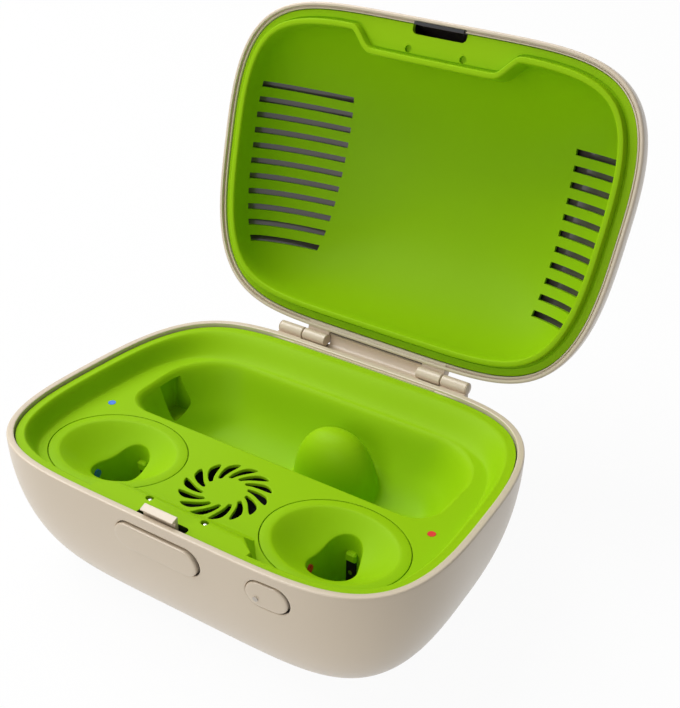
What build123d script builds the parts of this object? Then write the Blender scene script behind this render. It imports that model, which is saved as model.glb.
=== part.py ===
"""Hearing aid dryer: a clamshell case with a drying fan, two wells and a storage pocket, its lid open.

Millimetres, +Z up, +X to the right, the latch at the front (-Y) and the hinge at the back (+Y).
The origin is the centre of the face that the case rests on. The lid's pieces are drawn closed
and are then turned open about the hinge.
"""
from build123d import *
import os
from math import cos, radians, sin, sqrt

# ---- case outline: a squircle, a little wider at the front than at the back
CASE_HALF_X = 54.6          # outer half width at the rim
CASE_HALF_Y = 39.3          # outer half depth at the rim
SIDE_POWER = 5.4            # how square the left and right sides are
END_POWER = 3.0             # how square the front and back are
FRONT_FLARE = 0.046         # the front is this share wider, the back this share narrower

# ---- base shell
FOOT_PROUD = 0.6            # the rubber feet lift the floor by this
BASE_HEIGHT = 33.5          # floor to rim
BASE_TUCK = 15.5            # how far the belly draws in from rim to floor
BASE_WALL = 2.2
RIM_WALL = 1.6              # the shell's rim round the tray
ARC_STEPS = (0.0, 0.2, 0.4, 0.6, 0.78, 0.9, 0.97, 1.0)

# ---- inner tray
FIT_GAP = 0.15              # loose fit between housings
TRAY_DROP = 0.9             # tray face below the shell's rim
TRAY_FLANGE = 1.8
TRAY_WALL = 1.5
LIP_WIDTH = 1.8             # flat border of the tray
DECK_DEPTH = 4.7            # deck below the tray's flat border
DECK_SIDE_RUN = 3.0         # how far the sloping wall runs in, at the sides and front
DECK_BACK_RUN = 7.1         # the same at the back
SLOPE_STEPS = (0.0, 0.2, 0.4, 0.6, 0.8, 1.0)

# ---- land behind the latch
LAND_HALF_BACK = 16.4       # half width of its straight back edge
LAND_HALF_FRONT = 20.7
LAND_BACK_Y = -30.9
LAND_KNEE_Y = -34.2         # where its slanted sides meet the front wall
LAND_RAMP = 4.0             # run of its ramp down to the deck
LAND_SIDE_RAMP = 1.4

# ---- storage pocket
POCKET_HALF_X = 41.9
POCKET_FRONT_Y = -1.8
POCKET_BACK_Y = 27.8
POCKET_FRONT_R = 6.9
POCKET_BACK_R = 14.6
POCKET_PROFILE = ((0.0, 0.0), (1.0, 1.0), (3.0, 1.9), (8.0, 3.2), (12.5, 5.0), (15.0, 7.4), (16.0, 10.8))
MOUND_X = 7.0               # the mound that parts the pocket
MOUND_Y = 5.0
MOUND_HALF_X = 10.0
MOUND_HALF_Y = 13.5
MOUND_HEIGHT = 8.5
CATCH_Y = 13.2              # the catch recess in the pocket's left wall
CATCH_WIDTH = 7.0
CATCH_TOP = 1.5             # below the deck
CATCH_TALL = 9.5
CATCH_DEEP = 2.4

# ---- dishes and their wells
DISH_X = 29.4
DISH_Y = -17.8
DISH_HALF_X = 16.75
DISH_HALF_Y = 13.8
DISH_TURN = 4.2             # degrees, each dish turns a little outward
DISH_GROOVE = 0.2           # the line between a dish and the deck
DISH_LEDGE = 0.9            # width of the seat under a dish's edge
DISH_FLANGE = 1.2
DISH_BORDER = 2.0           # flat border of a dish
DISH_DEPTH = 6.6            # depth of the full bowl curve
DISH_WALL = 1.0
DISH_STEPS = (1.0, 0.92, 0.82, 0.7, 0.58, 0.46)
WELL_BACK_X = 28.8
WELL_BACK_Y = -13.6
WELL_BACK_R = 3.8
WELL_FRONT_X = 29.6
WELL_FRONT_Y = -19.2
WELL_FRONT_R = 5.0
WELL_DEPTH = 19.5           # below the deck
WELL_WALL = 1.2

# ---- fan grille and fan
FAN_Y = -16.3
GRILLE_SLOTS = 14
GRILLE_INNER_R = 4.75
GRILLE_OUTER_R = 10.25
GRILLE_BULGE = ((8.2, -12.7), (9.75, -21.5))    # radius, turn: the slot's outer flank
GRILLE_HOLLOW = ((9.15, -29.3), (7.2, -21.8))   # radius, turn: its inner flank
GRILLE_TIP_TURN = -34.8
GRILLE_ROOT_TURN = 4.0
FAN_SIZE = 23.0
FAN_TALL = 8.0
FAN_BORE_R = 10.6
FAN_FRAME_R = 2.0
FAN_BLADES = 7
FAN_HUB_R = 4.2
FAN_BLADE_R = 10.1
FAN_SHAFT_R = 0.8
FAN_STATOR_R = 3.6
HEATER_TALL = 2.4

# ---- lid
LID_GAP = 0.3               # between the two rims when shut
LID_HEIGHT = 32.0
LID_WALL = 1.6
LID_RIM_WALL = 1.05
LINER_DROP = 1.0            # liner face above the lid's rim, when shut
LINER_FLANGE = 1.2
LINER_WALL = 1.2
LINER_GAP = 0.3
BEAD_INSET = 3.3            # outer side of the bead, in from the liner's edge
BEAD_WIDTH = 1.9
BEAD_TALL = 2.4
LID_STEPS = (0.0, 0.2, 0.4, 0.58, 0.74, 0.86, 0.94, 0.985)
OPEN_ANGLE = 108.6

# ---- vents in the liner
VENT_COUNT = 11
VENT_PITCH = 3.87
VENT_FIRST_Y = -16.4
VENT_WIDTH = 1.5
VENT_INNER_X = 28.9
VENT_REACH = 0.95           # outer end as a share of the liner's half width there

# ---- hinge
HINGE_BACK = 2.25           # axis behind the case's back edge
KNUCKLE_R = 1.4
PIN_R = 0.7
PIN_CLEAR = 0.05
KNUCKLE_GAP = 0.25
LID_KNUCKLE_X0 = 13.25
KNUCKLE_SPLIT_X = 20.0
BASE_KNUCKLE_X1 = 27.35
HINGE_WEB = 3.0             # height of the web between a knuckle and its shell
SWING_GAP = 0.4             # round a knuckle that passes a housing

# ---- latch and buttons
NOTCH_HALF_X = 6.4
NOTCH_BACK_Y = -35.3
HOOK_HALF_X = 4.25
HOOK_FRONT_Y = -37.3
HOOK_THICK = 0.9
HOOK_NOSE = 0.7
HOOK_RISE = 2.9             # hook's top above the tray's border
NOSE_LOW = 2.05             # underside of its nose, above the tray's border
LATCH_TRAVEL = 0.9
LATCH_BUTTON = (21.6, 6.6)
LATCH_Z = -5.5              # button's middle, from the tray's border
POWER_BUTTON = (9.8, 6.2)
POWER_X = 27.6
POWER_Z = -5.0
POWER_FOOT_Y = -34.5        # inner face of the foot that presses the switch
POWER_NECK_DROP = 1.6       # its neck's top, below the button's middle, clear of the tray
LIGHT_X = 25.3              # the status light in the power button
LIGHT_Z = -6.1
LIGHT_R = 0.6
BUTTON_GAP = 0.25
BUTTON_PROUD = 0.35
BUTTON_THICK = 1.3
SLIDE_THICK = 0.9
SLIDE_HALF_X = 11.5
PEG_X = 7.5                 # the two pegs that join the latch button to its slide
PEG_HALF = 1.0
PEG_FRONT_Y = -38.0
KEEPER_HALF_X = 6.6
KEEPER_INNER_Y = -37.55
KEEPER_THICK = 0.6
LATCH_SLOT_HALF_X = 7.2
LATCH_SLOT_BACK_Y = -35.2
PROBE_X = 7.3               # the two small pins beside the latch
PROBE_Y = -31.8
PROBE_R = 0.6
PROBE_HOLE_R = 0.9
SPRING_R = 1.7
SPRING_WIRE_R = 0.25
SPRING_TURNS = 5
SPRING_SEAT_Y = -30.2
SPRING_Z = -4.7             # spring's axis, from the tray's border

# ---- feet, screws and electronics
FOOT_X = 28.0
FOOT_Y = 16.0
FOOT_R = 4.5
FOOT_THICK = 1.2
BOSS_R = 3.6
BOSS_TALL = 3.2
SCREW_R = 1.1
SCREW_HEAD_R = 2.0
SCREW_HEAD = 1.3
SCREW_LONG = 5.0
BOARD_THICK = 1.6
BOARD_HALF_X = 23.0
BOARD_Y0 = 2.0
BOARD_Y1 = 25.5
BOARD_Z = 4.2
BOARD_POST_X = 18.0
BOARD_POST_R = 1.8
FAN_RIB_HALF_Y = 9.0
CELL_SIZE = (34.0, 15.0, 4.5)
CELL_Y = 10.5
SOCKET_WIDTH = 9.0
SOCKET_TALL = 3.3
SOCKET_DEEP = 9.5
SWITCH_X0 = 21.6            # the power switch's small upright board
SWITCH_X1 = 33.6
SWITCH_Y = -32.7            # its front face
SWITCH_Z0 = 15.2
SWITCH_Z1 = 25.2
SWITCH_THICK = 0.8
SWITCH_BODY = 4.0
RIB_HALF_X = 1.0
RIB_LAP = 0.2               # how far a rib's slot laps a board
RIB_DEEP = 3.8
DOT_X = 44.0
DOT_Y = -3.9
DOT_R = 0.9
CONTACT_DROPS = (12.5, 15.5)
LUG_DROP = 7.2              # top of the lug over the contacts, below the deck
LUG_TALL = 2.3

# ---- levels and places that follow
RIM_Z = FOOT_PROUD + BASE_HEIGHT
TRAY_Z = RIM_Z - TRAY_DROP
DECK_Z = TRAY_Z - DECK_DEPTH
LID_Z = RIM_Z + LID_GAP
LINER_Z = LID_Z + LINER_DROP
HINGE_Y = CASE_HALF_Y + HINGE_BACK
HINGE_Z = RIM_Z + LID_GAP / 2
TRAY_INSET = RIM_WALL + FIT_GAP
LINER_INSET = LID_RIM_WALL + FIT_GAP
DOME_INSET = LID_WALL + LINER_GAP
FLOOR_Z = FOOT_PROUD + BASE_WALL
HINGE = Axis((0, HINGE_Y, HINGE_Z), (1, 0, 0))


def quarter():
    """Points of one quarter of the unit squircle, from +X round to +Y."""
    side = [((1 - f**END_POWER) ** (1 / SIDE_POWER), f) for f in (0.0, 0.25, 0.5, 0.7, 0.84)]
    end = [(f, (1 - f**SIDE_POWER) ** (1 / END_POWER)) for f in (0.7, 0.5, 0.25, 0.0)]
    return side + end


def ring():
    """Points of the whole unit squircle, counter-clockwise, flared to the front."""
    q = quarter()
    top = q[:-1] + [(-x, y) for x, y in reversed(q)][:-1]
    whole = top + [(-x, -y) for x, y in top]
    return [(x * (1 - FRONT_FLARE * y), y) for x, y in whole]


def outline(z, inset, back=0.0, share=1.0):
    """The case outline at height z, drawn in by inset, by back more at the back, and scaled."""
    half_x = (CASE_HALF_X - inset) * share
    front = (CASE_HALF_Y - inset) * share
    half_y = front - back / 2
    return Wire([Spline(*[(half_x * x, half_y * y - back / 2, z) for x, y in ring()], periodic=True)])


def half_width(y, inset):
    """Half the width of the case outline, drawn in by inset, at a given y."""
    f = y / (CASE_HALF_Y - inset)
    return (CASE_HALF_X - inset) * (1 - abs(f) ** END_POWER) ** (1 / SIDE_POWER) * (1 - FRONT_FLARE * f)


def slab(z0, z1, inset, back=0.0):
    """A prism of the case outline between two heights."""
    return Solid.make_loft([outline(z0, inset, back), outline(z1, inset, back)], ruled=True)


def block(x0, x1, y0, y1, z0, z1):
    """A box from its limits."""
    centre = ((x0 + x1) / 2, (y0 + y1) / 2, (z0 + z1) / 2)
    return Pos(*centre) * Box(x1 - x0, y1 - y0, z1 - z0)


def rod(x, y, z0, z1, radius):
    """An upright cylinder from its limits."""
    return Pos(x, y, (z0 + z1) / 2) * Cylinder(radius, z1 - z0)


def cross_rod(x0, x1, y, z, radius):
    """A cylinder along X from its limits."""
    return Pos((x0 + x1) / 2, y, z) * Rot(0, 90, 0) * Cylinder(radius, x1 - x0)


def prism(face, z0, z1):
    """A flat face drawn on XY, raised from z0 to z1."""
    return Pos(0, 0, z0) * extrude(face, amount=z1 - z0)


def open_lid(piece):
    """Turn a piece that is drawn shut to the open lid's place."""
    return piece.rotate(HINGE, -OPEN_ANGLE)


def save(name, *solids):
    """Write a node's solids to its STEP file."""
    export_step(Compound(children=list(solids)) if len(solids) > 1 else solids[0], f"parts/{name}.step")


# ---- base shell
def tuck(u):
    """How far the belly draws in at a share u of the way from rim to floor."""
    return BASE_TUCK * (1 - sqrt(1 - u * u))


def belly(wall):
    """The base's bulging form: elliptical sides from the rim into a flat floor."""
    sections = []
    for u in ARC_STEPS:
        sections.append(outline(RIM_Z - (BASE_HEIGHT - wall) * u, wall + tuck(u)))
    return Solid.make_loft(sections)


def front_prism(size, x, z, grow):
    """A stadium prism along Y through the front wall, for a button or its opening."""
    shape = SlotOverall(size[0] + 2 * grow, size[1] + 2 * grow)
    return Pos(x, -CASE_HALF_Y + 1, z) * Rot(90, 0, 0) * extrude(shape, amount=6, both=True)


def base_hinge():
    """Both outer knuckles, their webs and the hollowed ledge between them."""
    low = RIM_Z - HINGE_WEB - 1.2
    ledge = block(-BASE_KNUCKLE_X1, BASE_KNUCKLE_X1, CASE_HALF_Y - 2.2, HINGE_Y, low, RIM_Z - 0.6)
    ledge = fillet(ledge.edges().filter_by(Axis.X).group_by(Axis.Z)[0].sort_by(Axis.Y)[-1:], 2.0)
    swing = cross_rod(-KNUCKLE_SPLIT_X, KNUCKLE_SPLIT_X, HINGE_Y, HINGE_Z, KNUCKLE_R + SWING_GAP)
    body = ledge - swing
    for side in (-1, 1):
        x0, x1 = sorted((side * (KNUCKLE_SPLIT_X + KNUCKLE_GAP / 2), side * BASE_KNUCKLE_X1))
        barrel = cross_rod(x0, x1, HINGE_Y, HINGE_Z, KNUCKLE_R)
        end = barrel.faces().sort_by(Axis.X)[-1 if side > 0 else 0]
        body += chamfer(end.edges(), 0.4)
    return body


def base_shell():
    shell = belly(0.0) - belly(BASE_WALL)
    shell -= slab(TRAY_Z - TRAY_FLANGE, RIM_Z + 1, RIM_WALL)
    shell += board_ribs()
    for x, y in foot_places():
        shell += rod(x, y, FOOT_PROUD + 1, FLOOR_Z + BOSS_TALL, BOSS_R)
    shell += base_hinge()
    shell -= slab(TRAY_Z - TRAY_FLANGE, RIM_Z + 1, RIM_WALL)
    for x, y in foot_places():
        shell -= rod(x, y, 0, FOOT_THICK + FIT_GAP, FOOT_R + FIT_GAP)
        shell -= rod(x, y, 0, screw_seat(), SCREW_HEAD_R + FIT_GAP)
        shell -= rod(x, y, 0, FLOOR_Z + BOSS_TALL + 1, SCREW_R + FIT_GAP)
    shell -= front_prism(LATCH_BUTTON, 0, TRAY_Z + LATCH_Z, BUTTON_GAP)
    shell -= front_prism(POWER_BUTTON, POWER_X, TRAY_Z + POWER_Z, BUTTON_GAP)
    hook_room = HOOK_HALF_X + LATCH_TRAVEL
    shell -= block(-hook_room, hook_room, -CASE_HALF_Y + RIM_WALL - 0.1, slide_front() + 0.4, TRAY_Z + LATCH_Z, RIM_Z)
    shell -= socket_opening()
    pin_x = BASE_KNUCKLE_X1 - 1.0
    shell -= cross_rod(-pin_x, -KNUCKLE_SPLIT_X, HINGE_Y, HINGE_Z, PIN_R + PIN_CLEAR)
    shell -= cross_rod(KNUCKLE_SPLIT_X, pin_x, HINGE_Y, HINGE_Z, PIN_R + PIN_CLEAR)
    return shell


def foot_places():
    return [(sx * FOOT_X, sy * FOOT_Y) for sx in (-1, 1) for sy in (-1, 1)]


def screw_seat():
    """Height of the face that the screw heads bear on."""
    return FOOT_PROUD + FOOT_THICK + SCREW_HEAD + FIT_GAP


def base_feet():
    return [chamfer((rod(x, y, 0, FOOT_THICK, FOOT_R)).edges().sort_by(Axis.Z)[0:1], 0.3)
            for x, y in foot_places()]


def case_screws():
    screws = []
    for x, y in foot_places():
        seat = screw_seat()
        head = rod(x, y, seat - SCREW_HEAD, seat, SCREW_HEAD_R)
        cross = block(x - 1.2, x + 1.2, y - 0.3, y + 0.3, seat - SCREW_HEAD, seat - SCREW_HEAD / 2)
        cross += block(x - 0.3, x + 0.3, y - 1.2, y + 1.2, seat - SCREW_HEAD, seat - SCREW_HEAD / 2)
        screws.append(head + rod(x, y, seat, seat + SCREW_LONG, SCREW_R) - cross)
    return screws


# ---- inner tray
def recess(grow):
    """The tray's hollow above the deck, or the outside of its wall when grown."""
    sections = []
    for s in SLOPE_STEPS:
        drop = DECK_DEPTH * s * s * (3 - 2 * s) + grow
        inset = TRAY_INSET + LIP_WIDTH + DECK_SIDE_RUN * s - grow
        sections.append(outline(TRAY_Z - drop, inset, (DECK_BACK_RUN - DECK_SIDE_RUN) * s))
    return Solid.make_loft(sections)


def land_outline(z, grow_back, grow_side):
    """The land's outline, a trapezoid against the front wall."""
    y0 = -CASE_HALF_Y + BASE_WALL + 0.5
    pts = [(LAND_HALF_FRONT + grow_side, y0), (LAND_HALF_FRONT + grow_side, LAND_KNEE_Y),
           (LAND_HALF_BACK + grow_side, LAND_BACK_Y + grow_back)]
    mirrored = [(-x, y) for x, y in reversed(pts)]
    return Wire.make_polygon([(x, y, z) for x, y in pts + mirrored])


def land():
    """The raised land behind the latch, ramped down to the deck."""
    return Solid.make_loft([land_outline(DECK_Z - 0.5, LAND_RAMP, LAND_SIDE_RAMP),
                            land_outline(TRAY_Z, 0, 0)], ruled=True)


def pocket_outline(z, inset):
    """The pocket's outline: straight sides, small front corners and wide back ones."""
    x = POCKET_HALF_X - inset
    y0 = POCKET_FRONT_Y + inset
    y1 = POCKET_BACK_Y - inset
    corners = [(x, y0), (x, y1), (-x, y1), (-x, y0)]
    front = max(POCKET_FRONT_R - inset / 2, 2.0)
    back = max(min(POCKET_BACK_R, (y1 - y0) - front) - inset * 0.35, 3.0)
    radii = [front, back, back, front]
    wire = FilletPolyline(*[(px, py, z) for px, py in corners], radius=radii, close=True)
    return Wire(wire.edges())


def pocket(grow):
    """The pocket's hollow, or the outside of its wall when grown."""
    sections = [pocket_outline(DECK_Z - t - (grow if t else 0), inset - grow) for t, inset in POCKET_PROFILE]
    return Solid.make_loft(sections)


def mound():
    """The rounded mound that parts the pocket in two."""
    floor = DECK_Z - POCKET_PROFILE[-1][0]
    return Pos(MOUND_X, MOUND_Y, floor) * scale(Sphere(1), by=(MOUND_HALF_X, MOUND_HALF_Y, MOUND_HEIGHT))


def oval(side, shrink):
    """A dish's oval outline on XY, drawn in by shrink."""
    shape = Ellipse(DISH_HALF_X - shrink, DISH_HALF_Y - shrink)
    return Pos(side * DISH_X, DISH_Y, 0) * Rot(0, 0, side * -DISH_TURN) * shape


def crescent():
    """One slot of the fan grille, about the fan's axis, as a flat face."""
    def at(radius, turn):
        a = radians(90 + turn)
        return (radius * cos(a), radius * sin(a))
    tip = at(GRILLE_OUTER_R, GRILLE_TIP_TURN)
    left = at(GRILLE_INNER_R, GRILLE_ROOT_TURN)
    right = at(GRILLE_INNER_R, -GRILLE_ROOT_TURN)
    bulge = Spline(left, *[at(r, t) for r, t in GRILLE_BULGE], tip)
    hollow = Spline(tip, *[at(r, t) for r, t in GRILLE_HOLLOW], right)
    root = ThreePointArc(right, at(GRILLE_INNER_R - 0.35, 0), left)
    return make_face([bulge, hollow, root])


def grille():
    """All the slots of the fan grille as cutters."""
    slot = prism(crescent(), DECK_Z - TRAY_WALL - 1, DECK_Z + 1)
    return [Pos(0, FAN_Y, 0) * Rot(0, 0, 360 * i / GRILLE_SLOTS) * slot for i in range(GRILLE_SLOTS)]


def catch_recess(grow):
    """The upright recess for the catch in the pocket's left wall, or its outside when grown."""
    wall_x = -POCKET_HALF_X + 2.0
    return block(wall_x - CATCH_DEEP - grow, wall_x + 3.0, CATCH_Y - CATCH_WIDTH / 2 - grow,
                 CATCH_Y + CATCH_WIDTH / 2 + grow, DECK_Z - CATCH_TOP - CATCH_TALL - grow,
                 DECK_Z - CATCH_TOP + min(grow, 0.5))


def inner_tray():
    body = slab(TRAY_Z - TRAY_FLANGE, TRAY_Z, TRAY_INSET) + recess(TRAY_WALL)
    body += pocket(TRAY_WALL)
    body += catch_recess(TRAY_WALL)
    for x in (-FOOT_X, FOOT_X):
        body += rod(x, FOOT_Y, post_foot(), DECK_Z - 10, BOSS_R - 0.6)
    body -= recess(0.0)
    body -= pocket(0.0)
    body -= catch_recess(0.0)
    body += mound() & pocket(TRAY_WALL / 2)
    body += land() & slab(DECK_Z - 2, TRAY_Z, TRAY_INSET)
    body -= land_core()
    for side in (-1, 1):
        body += prism(oval(side, -1.0), DECK_Z - DISH_FLANGE - TRAY_WALL, DECK_Z) & slab(
            DECK_Z - 6, DECK_Z, TRAY_INSET + LIP_WIDTH)
        body -= prism(oval(side, 0), DECK_Z - DISH_FLANGE, DECK_Z + 0.6)
        body -= prism(oval(side, DISH_LEDGE), DECK_Z - 6, DECK_Z)
    body -= grille()
    for side in (-1, 1):
        body -= rod(side * PROBE_X, PROBE_Y, DECK_Z - 6, TRAY_Z + 1, PROBE_HOLE_R)
        body -= rod(side * DOT_X, DOT_Y, DECK_Z - 0.8, DECK_Z + 1, DOT_R + PIN_CLEAR)
    body -= block(-NOTCH_HALF_X, NOTCH_HALF_X, -CASE_HALF_Y, NOTCH_BACK_Y, DECK_Z - 6, TRAY_Z + 1)
    for x in (-FOOT_X, FOOT_X):
        body -= rod(x, FOOT_Y, post_foot() - 1, screw_seat() + SCREW_LONG + 0.5, SCREW_R + PIN_CLEAR)
    return body


def post_foot():
    """Height at which the posts of the tray and dishes stand on the shell's bosses."""
    return FLOOR_Z + BOSS_TALL


def land_core():
    """The hollow under the land: room for the latch slide and its spring."""
    deep = DECK_Z - 6
    top = TRAY_Z - TRAY_FLANGE
    half = SLIDE_HALF_X + 1.5
    room = block(-half, half, -CASE_HALF_Y, NOTCH_BACK_Y + LATCH_TRAVEL + 0.2, deep, top)
    side = SPRING_R + 0.9
    spring_room = block(-side, side, -CASE_HALF_Y, SPRING_SEAT_Y, deep, TRAY_Z + SPRING_Z + SPRING_R + 0.3)
    return room + spring_room


# ---- dishes
def bowl(side, grow):
    """A dish's hollow as ovals on a bowl curve, or its outside when grown."""
    sections = []
    for s in DISH_STEPS:
        half_x = (DISH_HALF_X - DISH_BORDER) * s + grow
        half_y = (DISH_HALF_Y - DISH_BORDER) * s + grow
        z = DECK_Z - DISH_DEPTH * (1 - s * s) - (grow if s < 1 else 0)
        sections.append(Pos(side * DISH_X, DISH_Y, z) * Rot(0, 0, -side * DISH_TURN) * Ellipse(half_x, half_y))
    return loft(sections)


def well(side, z0, z1, grow):
    """A well's egg-shaped prism."""
    back = Pos(side * WELL_BACK_X, WELL_BACK_Y) * Circle(WELL_BACK_R + grow)
    front = Pos(side * WELL_FRONT_X, WELL_FRONT_Y) * Circle(WELL_FRONT_R + grow)
    return prism(make_hull((back + front).edges()), z0, z1)


def dish(side):
    low = DECK_Z - DISH_DEPTH * (1 - DISH_STEPS[-1] ** 2)
    body = prism(oval(side, DISH_GROOVE), DECK_Z - DISH_FLANGE, DECK_Z)
    body += bowl(side, DISH_WALL)
    body += well(side, DECK_Z - WELL_DEPTH - WELL_WALL, low, WELL_WALL)
    body += rod(side * FOOT_X, -FOOT_Y, post_foot(), DECK_Z - WELL_DEPTH, BOSS_R - 0.6)
    body -= bowl(side, 0.0)
    body -= well(side, DECK_Z - WELL_DEPTH, DECK_Z, 0.0)
    body += contact_lug(side)
    body -= rod(side * FOOT_X, -FOOT_Y, post_foot() - 1, DECK_Z - WELL_DEPTH - 0.4, SCREW_R + PIN_CLEAR)
    body -= well_dot(side, PIN_CLEAR)
    return body


def contact_lug(side):
    """The small lug on the well's back wall, over the contacts."""
    x = side * WELL_BACK_X
    y = WELL_BACK_Y + WELL_BACK_R
    return block(x - 1.3, x + 1.3, y - 1.2, y + 0.5, DECK_Z - LUG_DROP - LUG_TALL, DECK_Z - LUG_DROP)


def well_dot(side, grow):
    """The coloured plug in the well's left wall, at its front end."""
    x = side * WELL_FRONT_X - WELL_FRONT_R
    return Pos(x, WELL_FRONT_Y - 0.6, DECK_Z - 7.6) * Rot(0, 90, 0) * Cylinder(1.1 + grow, 1.6)


def ear_markers(side):
    """The coloured deck dot and well plug that tell left from right."""
    deck_dot = rod(side * DOT_X, DOT_Y, DECK_Z - 0.8, DECK_Z + 0.05, DOT_R)
    return [deck_dot, well_dot(side, 0.0) - well(side, 0, DECK_Z, -0.1)]


def contact_carrier(side):
    """The black carrier below the lug that holds a well's two contacts."""
    x = side * WELL_BACK_X
    y = WELL_BACK_Y + WELL_BACK_R
    carrier = block(x - 1.2, x + 1.2, y - 0.9, y + 0.5, DECK_Z - WELL_DEPTH,
                    DECK_Z - LUG_DROP - LUG_TALL - 0.2)
    return carrier & well(side, 0, DECK_Z, -PIN_CLEAR)


def charge_contacts():
    """Two sprung contact tips on each carrier."""
    tips = []
    for side in (-1, 1):
        for drop in CONTACT_DROPS:
            x = side * WELL_BACK_X
            y = WELL_BACK_Y + WELL_BACK_R - 0.9
            tip = Pos(x, y - 0.15, DECK_Z - drop) * Rot(90, 0, 0) * Cylinder(0.5, 0.3)
            tips.append(tip)
    return tips


# ---- fan and heater
def fan_place():
    """Height of the top of the fan's frame."""
    return DECK_Z - TRAY_WALL


def fan_frame():
    top = fan_place()
    mid = top - FAN_TALL / 2
    frame = Pos(0, FAN_Y, mid) * Box(FAN_SIZE, FAN_SIZE, FAN_TALL)
    frame = fillet(frame.edges().filter_by(Axis.Z), FAN_FRAME_R)
    frame -= rod(0, FAN_Y, top - FAN_TALL - 1, top + 1, FAN_BORE_R)
    for i in range(3):
        strut = block(FAN_STATOR_R - 0.5, FAN_BORE_R + 0.3, -0.6, 0.6, top - FAN_TALL, top - FAN_TALL + 1.2)
        frame += Pos(0, FAN_Y, 0) * Rot(0, 0, 120 * i + 30) * strut
    frame += rod(0, FAN_Y, top - FAN_TALL, top - FAN_TALL + 1.2, FAN_STATOR_R)
    frame += rod(0, FAN_Y, top - FAN_TALL + 1.2, top - 3.2, 1.6)
    return frame - rod(0, FAN_Y, top - FAN_TALL + 0.6, top, FAN_SHAFT_R + PIN_CLEAR)


def fan_impeller():
    top = fan_place() - 0.9
    hub = rod(0, FAN_Y, top - 5.2, top, FAN_HUB_R)
    hub -= rod(0, FAN_Y, top - 6, top - 1.2, FAN_HUB_R - 0.7)
    hub += rod(0, FAN_Y, fan_place() - FAN_TALL + 0.8, top - 1, FAN_SHAFT_R)
    blade = Pos((FAN_HUB_R + FAN_BLADE_R) / 2 - 0.1, 0, top - 2.6) * Rot(38, 0, 0) * Box(
        FAN_BLADE_R - FAN_HUB_R + 0.2, 5.4, 0.7)
    blade &= rod(0, 0, top - 5.2, top, FAN_BLADE_R)
    for i in range(FAN_BLADES):
        hub += Pos(0, FAN_Y, 0) * Rot(0, 0, 360 * i / FAN_BLADES) * blade
    return hub


def heater_plate():
    """The finned warming element under the fan."""
    top = fan_place() - FAN_TALL
    plate = Pos(0, FAN_Y, top - HEATER_TALL / 2) * Box(FAN_SIZE, FAN_SIZE, HEATER_TALL)
    for i in range(9):
        x = -FAN_SIZE / 2 + 2.3 * (i + 1)
        plate -= block(x - 0.55, x + 0.55, FAN_Y - 9, FAN_Y + 9, top - HEATER_TALL - 1, top + 1)
    return plate


# ---- boards, cell and socket
def board_ribs():
    """Ribs that hold the power switch's small board, and posts for the main board and fan."""
    y0 = SWITCH_Y - RIB_DEEP / 2
    top = SWITCH_Z0 + RIB_LAP + 1.6
    ribs = block(SWITCH_X0 - 1.2, SWITCH_X0 + 0.8, y0, y0 + RIB_DEEP, FLOOR_Z + 1, top)
    ribs += block(SWITCH_X1 - 0.8, SWITCH_X1 + 1.2, y0, y0 + RIB_DEEP, FLOOR_Z + 1, top)
    ribs = ribs & belly(BASE_WALL - 0.3)
    ribs -= block(SWITCH_X0 - 0.2, SWITCH_X1 + 0.2, SWITCH_Y - 0.1, SWITCH_Y + SWITCH_THICK + 0.1,
                  SWITCH_Z0, SWITCH_Z1)
    for x in (-BOARD_POST_X, BOARD_POST_X):
        for y in (BOARD_Y0 + 3, BOARD_Y1 - 3):
            ribs += rod(x, y, FOOT_PROUD + 1, BOARD_Z, BOARD_POST_R)
    for side in (-1, 1):
        x = side * (FAN_SIZE / 2 - RIB_HALF_X)
        ribs += block(x - RIB_HALF_X, x + RIB_HALF_X, FAN_Y - FAN_RIB_HALF_Y, FAN_Y + FAN_RIB_HALF_Y,
                      FOOT_PROUD + 1, fan_place() - FAN_TALL - HEATER_TALL)
    return ribs


def main_board():
    board = block(-BOARD_HALF_X, BOARD_HALF_X, BOARD_Y0, BOARD_Y1, BOARD_Z, BOARD_Z + BOARD_THICK)
    return fillet(board.edges().filter_by(Axis.Z), 1.5)


def board_parts():
    """The tall parts on the main board's edge: an inductor, a capacitor and the driver."""
    z = BOARD_Z + BOARD_THICK
    return [block(-21.5, -18.5, 4, 8, z, z + 1.6), rod(20.5, 6, z, z + 2.6, 1.5),
            block(19, 22, 14, 18, z, z + 1.0)]


def battery_cell():
    z = BOARD_Z + BOARD_THICK
    return Pos(0, CELL_Y, z + CELL_SIZE[2] / 2) * fillet(Box(*CELL_SIZE).edges().filter_by(Axis.X), 1.2)


def socket_opening():
    """The opening for the charging socket in the back wall."""
    z = BOARD_Z + BOARD_THICK + SOCKET_TALL / 2
    shape = SlotOverall(SOCKET_WIDTH + 2 * BUTTON_GAP, SOCKET_TALL + 2 * BUTTON_GAP)
    return Pos(0, CASE_HALF_Y - 4, z) * Rot(90, 0, 0) * extrude(shape, amount=12, both=True)


def charging_socket():
    z = BOARD_Z + BOARD_THICK + SOCKET_TALL / 2
    y1 = socket_mouth()
    shape = SlotOverall(SOCKET_WIDTH, SOCKET_TALL)
    shell = Pos(0, y1, z) * Rot(90, 0, 0) * extrude(shape, amount=SOCKET_DEEP)
    hollow = SlotOverall(SOCKET_WIDTH - 0.8, SOCKET_TALL - 0.8)
    shell -= Pos(0, y1, z) * Rot(90, 0, 0) * extrude(hollow, amount=SOCKET_DEEP - 1)
    tongue = block(-3.0, 3.0, y1 - SOCKET_DEEP + 0.5, y1 - 1.2, z - 0.35, z + 0.35)
    return shell + tongue


def socket_mouth():
    """How far back the socket's mouth stands: just inside the back wall's face."""
    z = BOARD_Z + BOARD_THICK + SOCKET_TALL
    return CASE_HALF_Y - tuck((RIM_Z - z) / BASE_HEIGHT) - 0.6


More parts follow.
